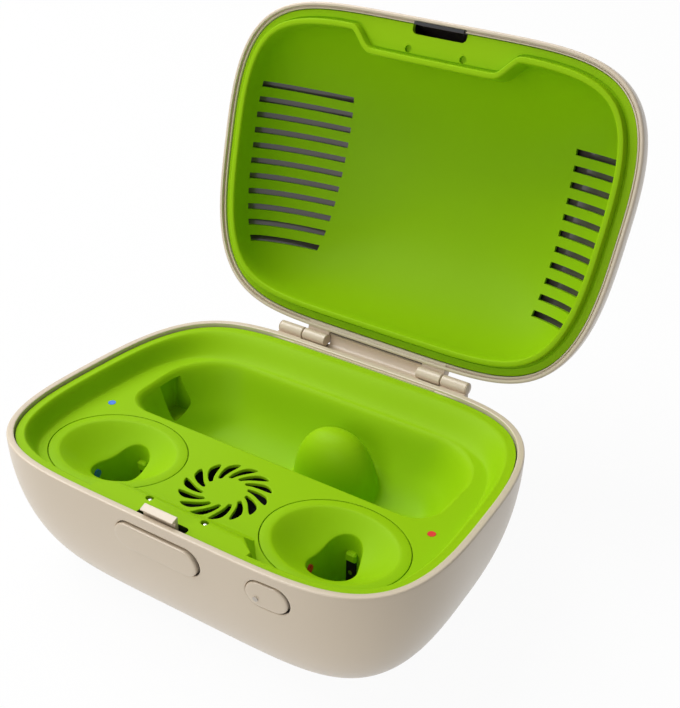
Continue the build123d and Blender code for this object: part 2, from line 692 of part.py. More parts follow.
def switch_board():
    return block(SWITCH_X0, SWITCH_X1, SWITCH_Y, SWITCH_Y + SWITCH_THICK, SWITCH_Z0, SWITCH_Z1)


def power_switch():
    half = SWITCH_BODY / 2
    face_y = SWITCH_Y - 1.0
    body = block(POWER_X - half, POWER_X + half, face_y, SWITCH_Y, SWITCH_Z1 - SWITCH_BODY, SWITCH_Z1)
    return body + Pos(POWER_X, face_y, SWITCH_Z1 - 1.6) * Rot(90, 0, 0) * Cylinder(1.0, 0.7)


# ---- latch and buttons
def button_cap(size, x, z):
    """A stadium cap that follows the curve of the shell's front."""
    cap = front_prism(size, x, TRAY_Z + z, 0.0) & belly(-BUTTON_PROUD)
    return cap - belly(BUTTON_THICK - BUTTON_PROUD)


def latch_button():
    cap = button_cap(LATCH_BUTTON, 0, LATCH_Z)
    z = TRAY_Z + LATCH_Z
    for x in (-PEG_X, PEG_X):
        cap += block(x - PEG_HALF, x + PEG_HALF, PEG_FRONT_Y, slide_front(), z - PEG_HALF, z + PEG_HALF)
    return cap


def slide_front():
    """Front face of the latch slide's plate, flush with the back of the hook's stem."""
    return HOOK_FRONT_Y + HOOK_THICK


def latch_slide():
    """The slide behind the front wall that carries the hook."""
    y0 = slide_front()
    z = TRAY_Z + LATCH_Z
    plate = block(-SLIDE_HALF_X, SLIDE_HALF_X, y0, y0 + SLIDE_THICK, z - 1.3, z + 3.2)
    stem = block(-HOOK_HALF_X, HOOK_HALF_X, HOOK_FRONT_Y, y0, z + 1.0, TRAY_Z + HOOK_RISE)
    nose_pts = [(HOOK_FRONT_Y + 0.1, TRAY_Z + NOSE_LOW), (HOOK_FRONT_Y - HOOK_NOSE, TRAY_Z + NOSE_LOW),
                (HOOK_FRONT_Y - HOOK_NOSE, TRAY_Z + NOSE_LOW + 0.25),
                (HOOK_FRONT_Y + HOOK_THICK, TRAY_Z + HOOK_RISE), (HOOK_FRONT_Y + 0.1, TRAY_Z + HOOK_RISE - 0.4)]
    nose_face = Face(Wire.make_polygon([(-HOOK_HALF_X, y, zz) for y, zz in nose_pts]))
    nose = Solid.extrude(nose_face, Vector(2 * HOOK_HALF_X, 0, 0))
    top_cut_pts = [(HOOK_FRONT_Y - HOOK_NOSE - 0.1, TRAY_Z + NOSE_LOW + 0.25),
                   (HOOK_FRONT_Y + HOOK_THICK + 0.1, TRAY_Z + HOOK_RISE),
                   (HOOK_FRONT_Y + HOOK_THICK + 0.1, TRAY_Z + HOOK_RISE + 1),
                   (HOOK_FRONT_Y - HOOK_NOSE - 0.1, TRAY_Z + HOOK_RISE + 1)]
    cut_face = Face(Wire.make_polygon([(-HOOK_HALF_X - 1, y, zz) for y, zz in top_cut_pts]))
    ramp = Solid.extrude(cut_face, Vector(2 * HOOK_HALF_X + 2, 0, 0))
    return plate + stem + nose - ramp


def latch_spring():
    """The coil spring that pushes the slide forward."""
    y0 = slide_front() + SLIDE_THICK
    length = SPRING_SEAT_Y - y0
    pitch = length / SPRING_TURNS
    coil = Helix(pitch=pitch, height=length - 2 * SPRING_WIRE_R, radius=SPRING_R - SPRING_WIRE_R)
    start = coil @ 0
    wire = Plane(origin=start, z_dir=coil % 0) * Circle(SPRING_WIRE_R)
    spring = sweep(wire, path=coil)
    return Pos(0, y0 + SPRING_WIRE_R, TRAY_Z + SPRING_Z) * Rot(-90, 0, 0) * spring


def power_button():
    cap = button_cap(POWER_BUTTON, POWER_X, POWER_Z)
    z = TRAY_Z + POWER_Z
    top = z - POWER_NECK_DROP
    neck = block(POWER_X - 2.5, POWER_X + 2.5, PEG_FRONT_Y, POWER_FOOT_Y - 0.5, top - 1.4, top)
    foot = block(POWER_X - 4.0, POWER_X + 4.0, POWER_FOOT_Y - 0.7, POWER_FOOT_Y, SWITCH_Z1 - 2.8, top)
    return cap + neck + foot - light_hole(PIN_CLEAR)


def light_hole(grow):
    """The bore for the status light, through the power button's cap."""
    return Pos(LIGHT_X, -CASE_HALF_Y + 0.9, TRAY_Z + LIGHT_Z) * Rot(90, 0, 0) * Cylinder(LIGHT_R + grow, 3.0)


def status_light():
    return light_hole(0.0) & belly(-BUTTON_PROUD - 0.05)


def probe_pins():
    """The two domed steel pins in the land."""
    pins = []
    for side in (-1, 1):
        pin = rod(side * PROBE_X, PROBE_Y, DECK_Z - 1, TRAY_Z - 0.5, PROBE_R)
        pins.append(fillet(pin.edges().sort_by(Axis.Z)[-1:], PROBE_R * 0.8))
    return pins


def hinge_pins():
    pins = []
    for side in (-1, 1):
        x0, x1 = sorted((side * (LID_KNUCKLE_X0 + 1.0), side * (BASE_KNUCKLE_X1 - 1.1)))
        pins.append(cross_rod(x0, x1, HINGE_Y, HINGE_Z, PIN_R))
    return pins


# ---- lid
def dome(wall):
    """The lid's dome: the outline shrinks on an ellipse up to a small flat top."""
    sections = []
    for u in LID_STEPS:
        share = sqrt(1 - u * u)
        sections.append(outline(LID_Z + (LID_HEIGHT - wall) * u, wall, 0.0, share))
    return Solid.make_loft(sections)


def lid_shell():
    shell = dome(0.0) - dome(LID_WALL)
    shell -= slab(LID_Z - 1, LINER_Z + LINER_FLANGE, LID_RIM_WALL)
    web = block(-KNUCKLE_SPLIT_X + KNUCKLE_GAP / 2, KNUCKLE_SPLIT_X - KNUCKLE_GAP / 2,
                CASE_HALF_Y - 2.0, HINGE_Y, LID_Z + 0.6, LID_Z + 0.6 + HINGE_WEB)
    web = fillet(web.edges().filter_by(Axis.X).group_by(Axis.Z)[-1].sort_by(Axis.Y)[-1:], 1.6)
    web -= block(-LID_KNUCKLE_X0, LID_KNUCKLE_X0, HINGE_Y - 1.5, HINGE_Y + 1, 0, 99)
    shell += web
    for side in (-1, 1):
        x0, x1 = sorted((side * LID_KNUCKLE_X0, side * (KNUCKLE_SPLIT_X - KNUCKLE_GAP / 2)))
        shell += cross_rod(x0, x1, HINGE_Y, HINGE_Z, KNUCKLE_R)
    shell -= slab(LID_Z - 1, LINER_Z + LINER_FLANGE, LID_RIM_WALL)
    shell -= dome(LID_WALL)
    pin_x = LID_KNUCKLE_X0 + 0.9
    shell -= cross_rod(-KNUCKLE_SPLIT_X, -pin_x, HINGE_Y, HINGE_Z, PIN_R + PIN_CLEAR)
    shell -= cross_rod(pin_x, KNUCKLE_SPLIT_X, HINGE_Y, HINGE_Z, PIN_R + PIN_CLEAR)
    return shell


def lid_land(z0, z1, grow):
    """The trapezoid of the lid's land, grown on all its free sides."""
    y0 = -CASE_HALF_Y + LINER_INSET
    pts = [(LAND_HALF_FRONT + 1.5 + grow, y0), (LAND_HALF_FRONT + 1.5 + grow, LAND_KNEE_Y + 0.4),
           (LAND_HALF_BACK + 0.6 + grow * 0.6, LAND_BACK_Y + 0.6 + grow)]
    pts += [(-x, y) for x, y in reversed(pts)]
    return prism(make_face(Polyline(*pts, close=True)), z0, z1)


def bead():
    """The raised bead that drops inside the tray's border and passes behind the land."""
    z0 = LINER_Z - BEAD_TALL
    z1 = LINER_Z + 0.5
    outer = slab(z0, z1, LINER_INSET + BEAD_INSET) - lid_land(z0 - 1, z1 + 1, 0.0)
    inner = slab(z0 - 1, z1 + 1, LINER_INSET + BEAD_INSET + BEAD_WIDTH) - lid_land(z0 - 2, z1 + 2, BEAD_WIDTH)
    return outer - inner


def lid_liner():
    body = dome(DOME_INSET) - slab(LID_Z - 1, LINER_Z, 0.0)
    body += slab(LINER_Z, LINER_Z + LINER_FLANGE, LINER_INSET)
    hollow = dome(DOME_INSET + LINER_WALL) - lid_land(LID_Z - 1, LID_Z + 30, BEAD_WIDTH)
    mouth = slab(LINER_Z - 1, LINER_Z + LINER_FLANGE + 1, LINER_INSET + BEAD_INSET + BEAD_WIDTH)
    hollow += mouth - lid_land(LINER_Z - 2, LID_Z + 30, BEAD_WIDTH)
    body = body - hollow + bead()
    body -= lid_land(LINER_Z + LINER_WALL, LID_Z + 30, BEAD_WIDTH - LINER_WALL)
    cutters = []
    for y, x1 in vent_places():
        slot = extrude(SlotOverall(x1 - VENT_INNER_X, VENT_WIDTH), amount=LID_HEIGHT)
        for side in (-1, 1):
            cutters.append(Pos(side * (x1 + VENT_INNER_X) / 2, y, LINER_Z + 2.0) * slot)
    body -= cutters
    body -= latch_slot()
    for side in (-1, 1):
        body -= rod(side * PROBE_X, PROBE_Y, LINER_Z - 1, LINER_Z + 0.8, PROBE_R)
    return body


def vent_places():
    """Each vent's y and the |x| of its outer end."""
    places = []
    for i in range(VENT_COUNT):
        y = VENT_FIRST_Y + VENT_PITCH * i
        places.append((y, half_width(y, DOME_INSET + LINER_WALL) * VENT_REACH))
    return places


def latch_slot():
    """The slot in the lid's land that the hook enters."""
    slot = block(-LATCH_SLOT_HALF_X, LATCH_SLOT_HALF_X, -CASE_HALF_Y, LATCH_SLOT_BACK_Y,
                 LINER_Z - 1, LINER_Z + LINER_WALL + 1)
    return fillet(slot.edges().filter_by(Axis.Z).group_by(Axis.Y)[-1], 1.2)


def latch_keeper():
    """The steel strip on the lid's front wall that the hook catches."""
    y0 = -CASE_HALF_Y + LID_RIM_WALL
    return block(-KEEPER_HALF_X, KEEPER_HALF_X, y0, KEEPER_INNER_Y, LID_Z + 0.1, LID_Z + 0.1 + KEEPER_THICK)


def main():
    os.makedirs("parts", exist_ok=True)
    save("base_shell", base_shell())
    save("base_feet", *base_feet())
    save("case_screws", *case_screws())
    save("inner_tray", inner_tray())
    for name, side in (("left", -1), ("right", 1)):
        save(f"{name}_dish", dish(side))
        save(f"{name}_ear_markers", *ear_markers(side))
        save(f"{name}_contact_carrier", contact_carrier(side))
    save("charge_contacts", *charge_contacts())
    save("fan_frame", fan_frame())
    save("fan_impeller", fan_impeller())
    save("heater_plate", heater_plate())
    save("main_board", main_board())
    save("board_parts", *board_parts())
    save("battery_cell", battery_cell())
    save("charging_socket", charging_socket())
    save("switch_board", switch_board())
    save("power_switch", power_switch())
    save("latch_button", latch_button())
    save("latch_slide", latch_slide())
    save("latch_spring", latch_spring())
    save("power_button", power_button())
    save("status_light", status_light())
    save("probe_pins", *probe_pins())
    save("hinge_pins", *hinge_pins())
    save("lid_shell", open_lid(lid_shell()))
    save("lid_liner", open_lid(lid_liner()))
    save("latch_keeper", open_lid(latch_keeper()))


main()
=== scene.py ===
"""Hearing aid dryer: a clamshell case with its lid open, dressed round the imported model's fixed frame.

Sizes in the classes are millimetres in the frame's axes; meshes are written in metres. The lid's
pieces are worked out shut and are then turned open about the hinge.
"""
import logging
from dataclasses import dataclass, field
from enum import Enum
from math import cos, pi, radians, sin

import bpy
import numpy as np
from mathutils import Matrix, Vector


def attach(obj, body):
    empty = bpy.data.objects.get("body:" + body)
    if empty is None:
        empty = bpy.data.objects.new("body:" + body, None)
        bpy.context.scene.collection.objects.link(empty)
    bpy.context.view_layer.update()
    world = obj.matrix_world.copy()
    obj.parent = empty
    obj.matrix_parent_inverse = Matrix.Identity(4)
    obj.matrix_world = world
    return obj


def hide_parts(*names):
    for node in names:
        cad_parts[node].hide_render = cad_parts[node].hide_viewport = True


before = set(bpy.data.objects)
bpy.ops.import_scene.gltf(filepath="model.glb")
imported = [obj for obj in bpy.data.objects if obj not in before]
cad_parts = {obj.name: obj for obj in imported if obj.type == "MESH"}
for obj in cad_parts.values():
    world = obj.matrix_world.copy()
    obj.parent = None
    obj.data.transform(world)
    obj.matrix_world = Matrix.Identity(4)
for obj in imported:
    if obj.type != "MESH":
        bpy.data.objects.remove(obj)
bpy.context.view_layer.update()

Piece = bpy.types.Object
Array = np.ndarray
Pair = tuple[float, float]
Triple = tuple[float, float, float]

LOG = logging.getLogger("dryer")
MM = 0.001
TAU = 2 * pi

SIDES = (("left", -1), ("right", 1))
PIN_X, PIN_Y = 7.3, -31.8       # the probe pins, and the lid's dimples over them
KNUCKLE_R = 1.5
HINGE_MIDDLE, HINGE_SPLIT, HINGE_END = 13.2, 20.1, 27.2     # x where the trough, the ledges and the webs end


class Body(Enum):
    """The rigid bodies that pieces ride on."""

    BASE = "base"
    LID = "lid"
    LATCH = "latch"
    POWER = "power_button"


# ---------------------------------------------------------------- shapes
@dataclass(frozen=True)
class CaseOutline:
    """The case's outline seen from above: a squircle, a little wider at the front than at the back."""

    half_x: float = 54.6
    half_y: float = 39.3
    side_power: float = 5.4
    end_power: float = 3.0
    flare: float = 0.046
    count: int = 420

    def unit(self) -> Array:
        """Points of the unit squircle |X|^side + |Y|^end = 1, spaced evenly along the scaled outline.

        Returns:
            Array (count, 2), counter-clockwise from +X.
        """
        turn = np.linspace(0.0, TAU, 6001)
        c, s = np.abs(np.cos(turn)), np.abs(np.sin(turn))
        low, high = np.full_like(turn, 0.5), np.full_like(turn, 1.6)
        for _ in range(40):
            mid = (low + high) / 2
            outside = (mid * c) ** self.side_power + (mid * s) ** self.end_power > 1
            high = np.where(outside, mid, high)
            low = np.where(outside, low, mid)
        x, y = low * np.cos(turn), low * np.sin(turn)
        px, py = self.half_x * x * (1 - self.flare * y), self.half_y * y
        run = np.concatenate([[0.0], np.cumsum(np.hypot(np.diff(px), np.diff(py)))])
        at = np.linspace(0.0, run[-1], self.count + 1)[:-1]
        return np.stack([np.interp(at, run, x), np.interp(at, run, y)], axis=1)

    def scaled(self, z: float, inset: float, share: float = 1.0) -> Array:
        """The outline drawn in by taking inset off both half sizes, then scaled by share.

        Args:
            z: Height of the ring.
            inset: Taken off both half sizes.
            share: Scale about the centre.

        Returns:
            Array (count, 3).
        """
        x, y = self.unit().T
        px = (self.half_x - inset) * share * x * (1 - self.flare * y)
        py = (self.half_y - inset) * share * y
        return np.stack([px, py, np.full_like(px, z)], axis=1)

    def offset(self, z: float | Array, inset: float | Array) -> Array:
        """The outline moved in along its own normals, so that a band keeps its width.

        Args:
            z: Height of the ring, or one height per point.
            inset: Distance in, or one distance per point.

        Returns:
            Array (count, 3).
        """
        return draw_in(self.scaled(0.0, 0.0), inset, z)


def outward(ring: Array) -> Array:
    """Unit normals in plan of a closed counter-clockwise ring: its chord turned a quarter clockwise.

    Args:
        ring: Array (n, 3).

    Returns:
        Array (n, 2).
    """
    chord = np.roll(ring[:, :2], -1, axis=0) - np.roll(ring[:, :2], 1, axis=0)
    chord /= np.linalg.norm(chord, axis=1, keepdims=True)
    return np.stack([chord[:, 1], -chord[:, 0]], axis=1)


def draw_in(ring: Array, inset: float | Array, z: float | Array) -> Array:
    """A ring moved in along its normals and set to a height.

    Args:
        ring: Array (n, 3).
        inset: Distance in.
        z: New height.

    Returns:
        Array (n, 3).
    """
    flat = ring[:, :2] - outward(ring) * np.reshape(np.broadcast_to(inset, len(ring)), (-1, 1))
    return np.concatenate([flat, np.reshape(np.broadcast_to(z, len(ring)), (-1, 1)).astype(float)], axis=1)


def soft_max(a: Array, b: Array, blend: float) -> Array:
    """The larger of two values with a rounded crossing: (a + b + sqrt((a - b)^2 + blend^2)) / 2."""
    return (a + b + np.sqrt((a - b) ** 2 + blend * blend)) / 2


def pill(length: float, tall: float, count: int = 96, shrink: float = 0.0) -> Array:
    """A stadium's outline about its centre, drawn in by shrink: two half circles joined by straights.

    Args:
        length: Overall length along the first axis.
        tall: Overall width.
        count: Points, a multiple of 4.
        shrink: Distance in from the edge.

    Returns:
        Array (count, 2), counter-clockwise.
    """
    half = count // 2
    turn = np.linspace(-pi / 2, pi / 2, half)
    radius = max(tall / 2 - shrink, 0.001)
    reach = (length - tall) / 2
    right = np.stack([reach + radius * np.cos(turn), radius * np.sin(turn)], axis=1)
    return np.concatenate([right, -right])


def rounded_box(x: Pair, y: Pair, radii: Pair,
                arc: int = 14, side: int = 12) -> Array:
    """A rectangle with arcs for corners, the same points in every ring: arcs of arc points joined by sides.

    Args:
        x: Lowest and highest x.
        y: Lowest and highest y.
        radii: Radius of the low-y corners and of the high-y corners.
        arc: Points on each corner.
        side: Points on each side.

    Returns:
        Array (4 * (arc + side), 2), counter-clockwise.
    """
    corners = [(x[1], y[0], radii[0], -90), (x[1], y[1], radii[1], 0),
               (x[0], y[1], radii[1], 90), (x[0], y[0], radii[0], 180)]
    arcs = []
    for cx, cy, radius, start in corners:
        turn = np.radians(np.linspace(start, start + 90, arc))
        sx, sy = np.sign(cx - sum(x) / 2), np.sign(cy - sum(y) / 2)
        px, py = cx - sx * radius + radius * np.cos(turn), cy - sy * radius + radius * np.sin(turn)
        arcs.append(np.stack([px, py], axis=1))
    parts = []
    for now, after in zip(arcs, arcs[1:] + arcs[:1]):
        step = np.linspace(0, 1, side + 2)[1:-1, None]
        parts += [now, now[-1] + (after[0] - now[-1]) * step]
    return np.concatenate(parts)


def lift(flat: Array, z: float | Array) -> Array:
    """A flat outline as a ring at a height."""
    return np.concatenate([flat, np.reshape(np.broadcast_to(z, len(flat)), (-1, 1)).astype(float)], axis=1)


def turned(flat: Array, degrees: float, x: float = 0.0, y: float = 0.0) -> Array:
    """A flat outline turned about the origin and moved."""
    c, s = cos(radians(degrees)), sin(radians(degrees))
    return np.stack([flat[:, 0] * c - flat[:, 1] * s + x, flat[:, 0] * s + flat[:, 1] * c + y], axis=1)


def oval(half_x: float, half_y: float, count: int = 160) -> Array:
    """An ellipse's outline about its centre."""
    turn = np.arange(count) * TAU / count
    return np.stack([half_x * np.cos(turn), half_y * np.sin(turn)], axis=1)


def disc(radius: float, x: float, y: float, count: int = 32) -> Array:
    """A circle's outline about a place."""
    return oval(radius, radius, count) + np.array([x, y])


def arc(y: float, z: float, radius: float, start: float, stop: float, count: int) -> list[Pair]:
    """Points (y, z) on a circle about a place, from one turn in degrees to another."""
    return [(y + radius * cos(a), z + radius * sin(a)) for a in np.radians(np.linspace(start, stop, count))]


@dataclass(frozen=True)
class DishOval:
    """The oval that a dish fills and that the tray is cut for: its middle, half sizes and turn in degrees."""

    x: float = 29.4
    y: float = -17.8
    half_x: float = 16.75
    half_y: float = 13.8
    turn: float = 4.2

    def ring(self, side: int, shrink: float, count: int = 160) -> Array:
        """The oval on one side of the case, drawn in."""
        shape = oval(self.half_x - shrink, self.half_y - shrink, count)
        return turned(shape, -side * self.turn, side * self.x, self.y)


@dataclass(frozen=True)
class LidTurn:
    """The turn that opens the lid: a rotation about the hinge's line along X."""

    y: float = 41.55
    z: float = 34.25
    degrees: float = 108.6

    def __call__(self, points: Array) -> Array:
        """Points of the shut lid, where they are when it stands open."""
        c, s = cos(radians(self.degrees)), sin(radians(self.degrees))
        dy, dz = points[..., 1] - self.y, points[..., 2] - self.z
        return np.stack([points[..., 0], dy * c + dz * s + self.y, -dy * s + dz * c + self.z], axis=-1)


def read(items: bpy.types.bpy_prop_collection, key: str) -> Array:
    """A vector of each vertex or face, as an array (n, 3)."""
    flat = np.empty(len(items) * 3)
    items.foreach_get(key, flat)
    return flat.reshape(-1, 3)


def make_object(name: str, points: Array, faces: list[list[int]]) -> Piece:
    """A mesh object from points in millimetres, its faces turned outwards by its signed volume.

    Args:
        name: The piece's name.
        points: Array (n, 3).
        faces: Lists of point numbers.

    Returns:
        The linked object.
    """
    mesh = bpy.data.meshes.new(name)
    mesh.from_pydata((points * MM).tolist(), [], faces)
    mesh.update()
    areas = np.empty(len(mesh.polygons))
    mesh.polygons.foreach_get("area", areas)
    if (read(mesh.polygons, "center") * read(mesh.polygons, "normal")).sum(axis=1) @ areas < 0:
        mesh.flip_normals()
    piece = bpy.data.objects.new(name, mesh)
    bpy.context.scene.collection.objects.link(piece)
    return piece


def skin(name: str, rings: list[Array] | Array, loop: bool = False, pole: bool = False) -> Piece:
    """A closed mesh on a grid of closed rings: four-sided faces between rings, a face on each end.

    Args:
        name: The piece's name.
        rings: Rings of equal length.
        loop: Join the last ring to the first in place of the end faces.
        pole: End the last ring in a fan of triangles to its middle.

    Returns:
        The linked object.
    """
    grid = np.asarray(rings, dtype=float)
    rows, count, _ = grid.shape
    points = grid.reshape(-1, 3)
    i = (np.arange(rows if loop else rows - 1) * count)[:, None]
    j = np.arange(count)[None, :]
    k = (j + 1) % count
    up = (i + count) % (rows * count)
    quads = np.stack([i + j, i + k, up + k, up + j], axis=-1).reshape(-1, 4).tolist()
    if loop:
        return make_object(name, points, quads)
    last = (rows - 1) * count
    faces = quads + [list(range(count))[::-1]]
    if pole:
        points = np.concatenate([points, grid[-1].mean(axis=0)[None]])
        ring = np.arange(count)
        fan = np.stack([last + ring, last + (ring + 1) % count, np.full(count, rows * count)], axis=1)
        faces += fan.tolist()
    else:
        faces.append(list(range(last, last + count)))
    return make_object(name, points, faces)


def prism(name: str, flat: Array, low: float | Array, high: float | Array) -> Piece:
    """An upright prism on a flat outline, from one height to another."""
    return skin(name, [lift(flat, low), lift(flat, high)])


def joined(name: str, pieces: list[Piece]) -> Piece:
    """Several objects' meshes in one object.

    Args:
        name: The new piece's name.
        pieces: Objects, which are removed.

    Returns:
        The linked object.
    """
    points, faces, start = [], [], 0
    for piece in pieces:
        points.append(read(piece.data.vertices, "co") / MM)
        faces += [[start + v for v in face.vertices] for face in piece.data.polygons]
        start += len(piece.data.vertices)
        bpy.data.objects.remove(piece)
    return make_object(name, np.concatenate(points), faces)


def settle(piece: Piece) -> Piece:
    """Applies a piece's modifiers to its mesh."""
    view = bpy.context.evaluated_depsgraph_get()
    mesh = bpy.data.meshes.new_from_object(piece.evaluated_get(view))
    piece.modifiers.clear()
    piece.data = mesh
    return piece


def carve(piece: Piece, tool: Piece, operation: str = "DIFFERENCE") -> Piece:
    """Cuts a closed tool out of a closed piece, or adds or keeps it, and removes the tool.

    Args:
        piece: The piece to change.
        tool: The closed cutter.
        operation: DIFFERENCE, UNION or INTERSECT.

    Returns:
        The piece.
    """
    step = piece.modifiers.new("carve", "BOOLEAN")
    step.operation = operation
    step.solver = "MANIFOLD"
    step.object = tool
    settle(piece)
    bpy.data.objects.remove(tool)
    return piece


def soften(piece: Piece, crease: float = 35.0, weighted: bool = True) -> Piece:
    """Shades a piece smooth with sharp creases, flat faces keeping their own normals.

    Args:
        piece: The piece.
        crease: Angle in degrees above which an edge stays sharp.
        weighted: Weight the normals by face area.

    Returns:
        The piece.
    """
    mesh = piece.data
    mesh.polygons.foreach_set("use_smooth", np.ones(len(mesh.polygons), dtype=bool))
    mesh.set_sharp_from_angle(angle=radians(crease))
    if weighted:
        normals = piece.modifiers.new("flats", "WEIGHTED_NORMAL")
        normals.keep_sharp = True
    return piece


def rounded(piece: Piece, width: float, segments: int = 3, angle: float = 40.0) -> Piece:
    """Rounds a piece's sharp edges with a settled bevel."""
    bevel = piece.modifiers.new("edges", "BEVEL")
    bevel.width = width * MM
    bevel.segments = segments
    bevel.limit_method = "ANGLE"
    bevel.angle_limit = radians(angle)
    return settle(piece)


def extruded(name: str, profile: list[Pair], x0: float, x1: float) -> Piece:
    """A prism along X: the (y, z) profile at x0 and at x1."""
    flat = np.array(profile, dtype=float)
    rings = [np.concatenate([np.full((len(flat), 1), x), flat], axis=1) for x in (x0, x1)]
    return skin(name, rings)


def spanned(name: str, profile: list[Pair], side: int, near: float, far: float) -> Piece:
    """A prism along X on one side of the case, from near to far off its middle."""
    x0, x1 = sorted((side * near, side * far))
    return extruded(name, profile, x0, x1)


def lathe_x(name: str, profile: list[Pair], y: float, z: float, count: int = 48) -> Piece:
    """A turned piece about a line along X: the (x, radius) profile swept round the line.

    Args:
        name: The piece's name.
        profile: Pairs of x and radius.
        y: The line's y.
        z: The line's z.
        count: Points round.

    Returns:
        The linked object.
    """
    turn = np.arange(count) * TAU / count
    c, s = np.cos(turn), np.sin(turn)
    return skin(name, [np.stack([np.full(count, x), y + r * c, z + r * s], axis=1) for x, r in profile])


# ---------------------------------------------------------------- materials
class Socket:
    """A shader value that takes part in Python expressions; each operator adds a Math node."""

    def __init__(self, tree: bpy.types.NodeTree, output: bpy.types.NodeSocket) -> None:
        """Wraps an output socket of a node tree."""
        self.tree = tree
        self.output = output

    def _math(self, operation: str, first: "Socket | float", second: "Socket | float" = 0.0) -> "Socket":
        """One Math node on two values."""
        return Finish.node(self.tree, "ShaderNodeMath", {"operation": operation}, {0: first, 1: second})

    def __add__(self, other: "Socket | float") -> "Socket":
        """self + other."""
        return self._math("ADD", self, other)

    __radd__ = __add__

    def __sub__(self, other: "Socket | float") -> "Socket":
        """self - other."""
        return self._math("SUBTRACT", self, other)

    def __rsub__(self, other: "Socket | float") -> "Socket":
        """other - self."""
        return self._math("SUBTRACT", other, self)

    def __mul__(self, other: "Socket | float") -> "Socket":
        """self * other."""
        return self._math("MULTIPLY", self, other)

    __rmul__ = __mul__


WHITE = (1.0, 1.0, 1.0, 1.0)
GRAIN_DEPTH = 0.0001        # metres, the full height of the surface grain


@dataclass(frozen=True)
class Finish:
    """A procedural finish: colour with a soft drift, roughness with fine mottling, and a fine bump."""

    name: str
    slot: str
    color: Triple
    shade: Triple
    roughness: float = 0.4
    metallic: float = 0.0
    coat: float = 0.0
    coat_roughness: float = 0.1
    drift: float = 40.0
    grain: float = 1500.0
    bump: float = 0.05
    mottle: float = 0.08
    specular: float = 0.5

    @staticmethod
    def node(tree: bpy.types.NodeTree, kind: str, settings: dict, inputs: dict,
             output: int | str = 0) -> Socket | None:
        """Adds a node, its settings first and then the values or links of its sockets.

        Args:
            tree: The node tree.
            kind: The node's type.
            settings: Its properties.
            inputs: Values or Sockets by socket name or number.
            output: The output wanted.

        Returns:
            The wrapped output.
        """
        made = tree.nodes.new(kind)
        for key, value in settings.items():
            setattr(made, key, value)
        for key, value in inputs.items():
            if isinstance(value, Socket):
                tree.links.new(value.output, made.inputs[key])
            else:
                made.inputs[key].default_value = value
        return Socket(tree, made.outputs[output]) if len(made.outputs) else None

    def pattern(self, tree: bpy.types.NodeTree, place: Socket) -> tuple[Socket, Socket, Socket]:
        """Colour, roughness and bump height of the finish.

        Args:
            tree: The node tree.
            place: Object coordinates.

        Returns:
            Colour, roughness and height.
        """
        drift, grain = (
            self.node(tree, "ShaderNodeTexNoise", {}, {"Vector": place, "Scale": scale, "Detail": detail})
            for scale, detail in ((self.drift, 3.0), (self.grain, 2.0)))
        colour = self.node(tree, "ShaderNodeMix", {"data_type": "RGBA"},
                           {0: drift * 0.8 + grain * 0.2, 6: (*self.color, 1.0), 7: (*self.shade, 1.0)}, 2)
        rough = (grain - 0.5) * self.mottle * 2.0 + (drift - 0.5) * self.mottle + self.roughness
        return colour, rough, grain

    def material(self) -> bpy.types.Material:
        """Builds the finish's material, or returns the one already built."""
        if self.name in bpy.data.materials:
            return bpy.data.materials[self.name]
        made = bpy.data.materials.new(self.name)
        made.use_nodes = True
        tree = made.node_tree
        tree.nodes.clear()
        place = self.node(tree, "ShaderNodeTexCoord", {}, {}, "Object")
        colour, rough, height = self.pattern(tree, place)
        normal = self.node(tree, "ShaderNodeBump", {},
                           {"Strength": self.bump, "Distance": GRAIN_DEPTH, "Height": height})
        shader = self.node(tree, "ShaderNodeBsdfPrincipled", {}, {
            "Base Color": colour, "Roughness": rough, "Metallic": self.metallic, "Normal": normal,
            "Coat Weight": self.coat, "Coat Roughness": self.coat_roughness,
            "Specular IOR Level": self.specular})
        self.node(tree, "ShaderNodeOutputMaterial", {}, {"Surface": shader})
        return made

    def dress(self, *pieces: Piece) -> None:
        """Puts the finish on pieces in place of what they had."""
        for piece in pieces:
            piece.data.materials.clear()
            piece.data.materials.append(self.material())


CHAMPAGNE = Finish("champagne_pearl", "shell_champagne", (0.67, 0.565, 0.43), (0.63, 0.53, 0.40),
                   roughness=0.32,
                   coat=0.2, coat_roughness=0.16, grain=2600.0, bump=0.05, mottle=0.05)
# Painted shade: a near-black brown on the shells' inner faces and the hinge's crevices, standing in for the
# shade there.
SHELL_PAINTED_SHADE = Finish("shell_painted_shade", "shell_champagne", (0.10, 0.08, 0.076), (0.13, 0.105, 0.10), roughness=0.2,
                coat=0.6, grain=1800.0, bump=0.03)
LIME = Finish("lime_moulded", "tray_green", (0.305, 0.555, 0.004), (0.28, 0.53, 0.004), roughness=0.46,
              grain=2200.0, bump=0.04, mottle=0.05, specular=0.07)
# Painted shade: a near-black green on the walls of the tray's notch and of the hollow under its land.
LIME_PAINTED_SHADE = Finish("lime_painted_shade", "tray_green", (0.02, 0.04, 0.001), (0.016, 0.034, 0.001), roughness=0.8,
                    bump=0.02, specular=0.05)
BLACK = Finish("black_moulded", "black_plastic", (0.008, 0.008, 0.009), (0.014, 0.014, 0.015),
               roughness=0.7,
               specular=0.12)
RUBBER = Finish("foot_rubber", "rubber_black", (0.025, 0.025, 0.026), (0.04, 0.04, 0.042),
                roughness=0.75, bump=0.2)
STEEL = Finish("drawn_steel", "steel", (0.62, 0.61, 0.60), (0.52, 0.51, 0.50), roughness=0.22, metallic=1.0)
BLUE = Finish("left_blue", "marker_blue", (0.02, 0.16, 0.75), (0.03, 0.20, 0.85), roughness=0.3, coat=0.4)
RED = Finish("right_red", "marker_red", (0.72, 0.02, 0.03), (0.82, 0.04, 0.05), roughness=0.3, coat=0.4)
